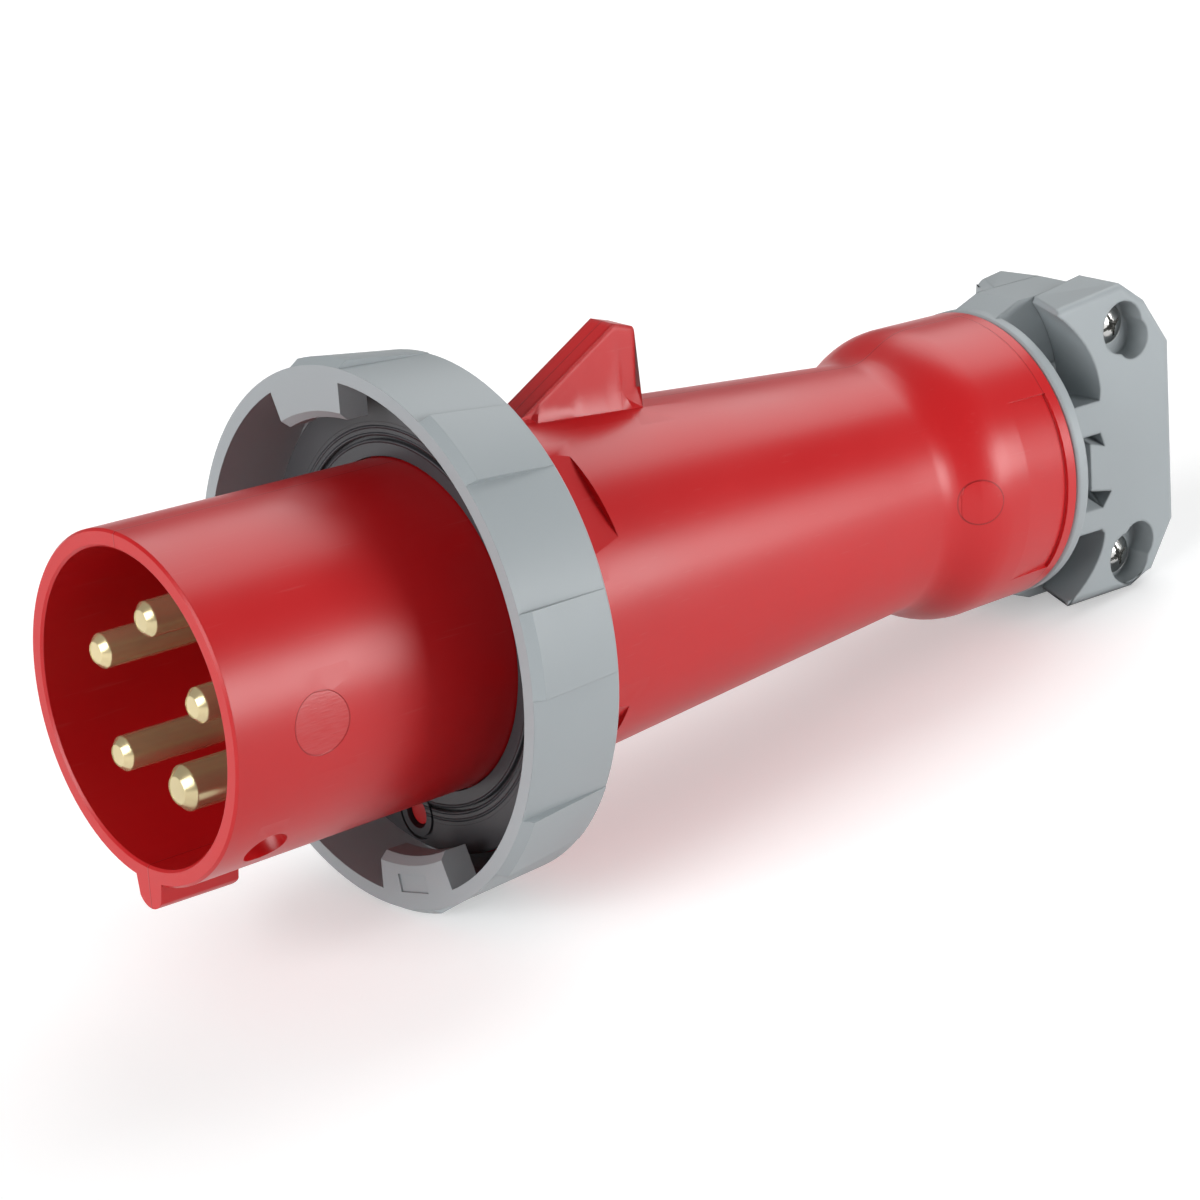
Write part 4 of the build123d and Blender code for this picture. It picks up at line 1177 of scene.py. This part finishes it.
class PLUG_OT_studio(bpy.types.Operator):
    """Pale floor, soft light and the camera"""
    bl_idname = "plug.studio"
    bl_label = "Studio"

    def execute(self, context):
        """Builds the stage round the plug."""
        light = context.scene.plug_light
        self.floor(light)
        self.room(light)
        self.soft_light("Left light", light.left, 45.0, (-0.97, -0.08, 0.3))
        self.soft_light("Top light", light.top, 50.0, (0.55, 0.32, 0.77))
        self.lamp("Right lamp", light.right, (0.5, 0.36), (0.58, -0.74, 0.15), (0.1, 0.0, 0.0))
        self.camera()
        context.scene.view_settings.view_transform = "Standard"
        return {"FINISHED"}

    def floor(self, light):
        """Floor that the ring and the clamp both touch."""
        rise = (REST_REAR[1] - REST_FRONT[1]) / (REST_REAR[0] - REST_FRONT[0])
        height = (REST_FRONT[1] - REST_FRONT[0] * rise) * MM
        corners = [(x, y, height + x * rise) for x, y in ((-3, -3), (3, -3), (3, 3), (-3, 3))]
        mesh = bpy.data.meshes.new("floor")
        mesh.from_pydata(corners, [], [(0, 1, 2, 3)])
        tree, shader, place = new_material("Pale floor")
        grain = put(tree, "ShaderNodeTexNoise", {"Scale": 3.0, "Detail": 2.0})
        join(tree, place, grain.inputs["Vector"])
        level = light.floor
        join(tree, blend(tree, grain.outputs["Fac"], (level - 0.004,) * 3, (level + 0.004,) * 3),
             shader.inputs["Base Color"])
        shader.inputs["Roughness"].default_value = 0.9
        shader.inputs["Specular IOR Level"].default_value = 0.1
        path = tree.nodes.new("ShaderNodeLightPath").outputs
        seen = math_node(tree, "MAXIMUM", path["Is Camera Ray"], path["Is Glossy Ray"])
        seen = math_node(tree, "MAXIMUM", seen, path["Is Transmission Ray"])
        shader.inputs["Emission Strength"].default_value = 1.0
        join(tree, math_node(tree, "MULTIPLY", seen, light.lift),
             shader.inputs["Emission Color"])
        mesh.materials.append(bpy.data.materials["Pale floor"])
        floor = bpy.data.objects.new("floor", mesh)
        bpy.context.scene.collection.objects.link(floor)

    def room(self, light):
        """Even pale light from all sides."""
        world = bpy.data.worlds.new("Pale room")
        bpy.context.scene.world = world
        world.use_nodes = True
        background = world.node_tree.nodes["Background"]
        background.inputs["Color"].default_value = (1.0, 1.0, 1.0, 1.0)
        background.inputs["Strength"].default_value = light.room

    def soft_light(self, name, strength, wide, side):
        """Broad light from one side, as soft as its width in degrees."""
        data = bpy.data.lights.new(name, "SUN")
        data.energy = strength
        data.angle = math.radians(wide)
        lamp = bpy.data.objects.new(name, data)
        lamp.location = side
        lamp.rotation_mode = "QUATERNION"
        lamp.rotation_quaternion = (-Vector(side)).to_track_quat("-Z", "Y")
        bpy.context.scene.collection.objects.link(lamp)

    def lamp(self, name, power, size, place, target):
        """Soft box that faces a point."""
        data = bpy.data.lights.new(name, "AREA")
        data.shape = "RECTANGLE"
        data.energy = power
        data.size, data.size_y = size
        lamp = bpy.data.objects.new(name, data)
        lamp.location = place
        lamp.rotation_mode = "QUATERNION"
        lamp.rotation_quaternion = (Vector(target) - Vector(place)).to_track_quat("-Z", "Y")
        bpy.context.scene.collection.objects.link(lamp)

    def camera(self):
        """Camera at the picture's own angle."""
        azimuth, elevation, roll = (math.radians(turn) for turn in VIEW_TURN)
        data = bpy.data.cameras.new("camera")
        data.sensor_width = 36.0
        data.lens = VIEW_LENS
        data.clip_start = 0.01
        data.clip_end = 50.0
        camera = bpy.data.objects.new("camera", data)
        bpy.context.scene.collection.objects.link(camera)
        back = Vector((math.sin(azimuth) * math.cos(elevation),
                       -math.cos(azimuth) * math.cos(elevation), math.sin(elevation)))
        level = Vector((math.cos(azimuth), math.sin(azimuth), 0.0))
        upright = back.cross(level)
        right = math.cos(roll) * level + math.sin(roll) * upright
        up = -math.sin(roll) * level + math.cos(roll) * upright
        turn = Matrix((right, up, back)).transposed().to_4x4()
        camera.matrix_world = Matrix.Translation(VIEW_PLACE) @ turn
        bpy.context.scene.camera = camera


STEPS = (
    PLUG_OT_finishes, PLUG_OT_front_housing, PLUG_OT_gasket, PLUG_OT_lock_ring, PLUG_OT_pins,
    PLUG_OT_contact_block, PLUG_OT_handle, PLUG_OT_screws, PLUG_OT_cable_entry, PLUG_OT_clamp,
    PLUG_OT_studio,
)


class PLUG_PT_panel(bpy.types.Panel):
    """Sizes, colours and steps of the plug"""
    bl_label = "Pin and sleeve plug"
    bl_idname = "PLUG_PT_panel"
    bl_space_type = "VIEW_3D"
    bl_region_type = "UI"
    bl_category = "Plug"

    def draw(self, context):
        """Lists the settings and the steps in their order."""
        for group in (context.scene.plug_sizes, context.scene.plug_colours,
                      context.scene.plug_light):
            box = self.layout.box()
            for key in group.bl_rna.properties.keys():
                if key not in ("rna_type", "name"):
                    box.prop(group, key)
        for step in STEPS:
            self.layout.operator(step.bl_idname)


CLASSES = (PlugSizes, PlugColours, PlugLight, *STEPS, PLUG_PT_panel)


def register():
    """Registers the classes and hangs the settings on the scene."""
    for item in CLASSES:
        bpy.utils.register_class(item)
    bpy.types.Scene.plug_sizes = PointerProperty(type=PlugSizes)
    bpy.types.Scene.plug_colours = PointerProperty(type=PlugColours)
    bpy.types.Scene.plug_light = PointerProperty(type=PlugLight)


def unregister():
    """Takes the settings off the scene and unregisters the classes."""
    del bpy.types.Scene.plug_light
    del bpy.types.Scene.plug_colours
    del bpy.types.Scene.plug_sizes
    for item in reversed(CLASSES):
        bpy.utils.unregister_class(item)


def main():
    """Runs every step in order."""
    register()
    for step in STEPS:
        family, action = step.bl_idname.split(".")
        getattr(getattr(bpy.ops, family), action)()


if __name__ == "__main__":
    main()
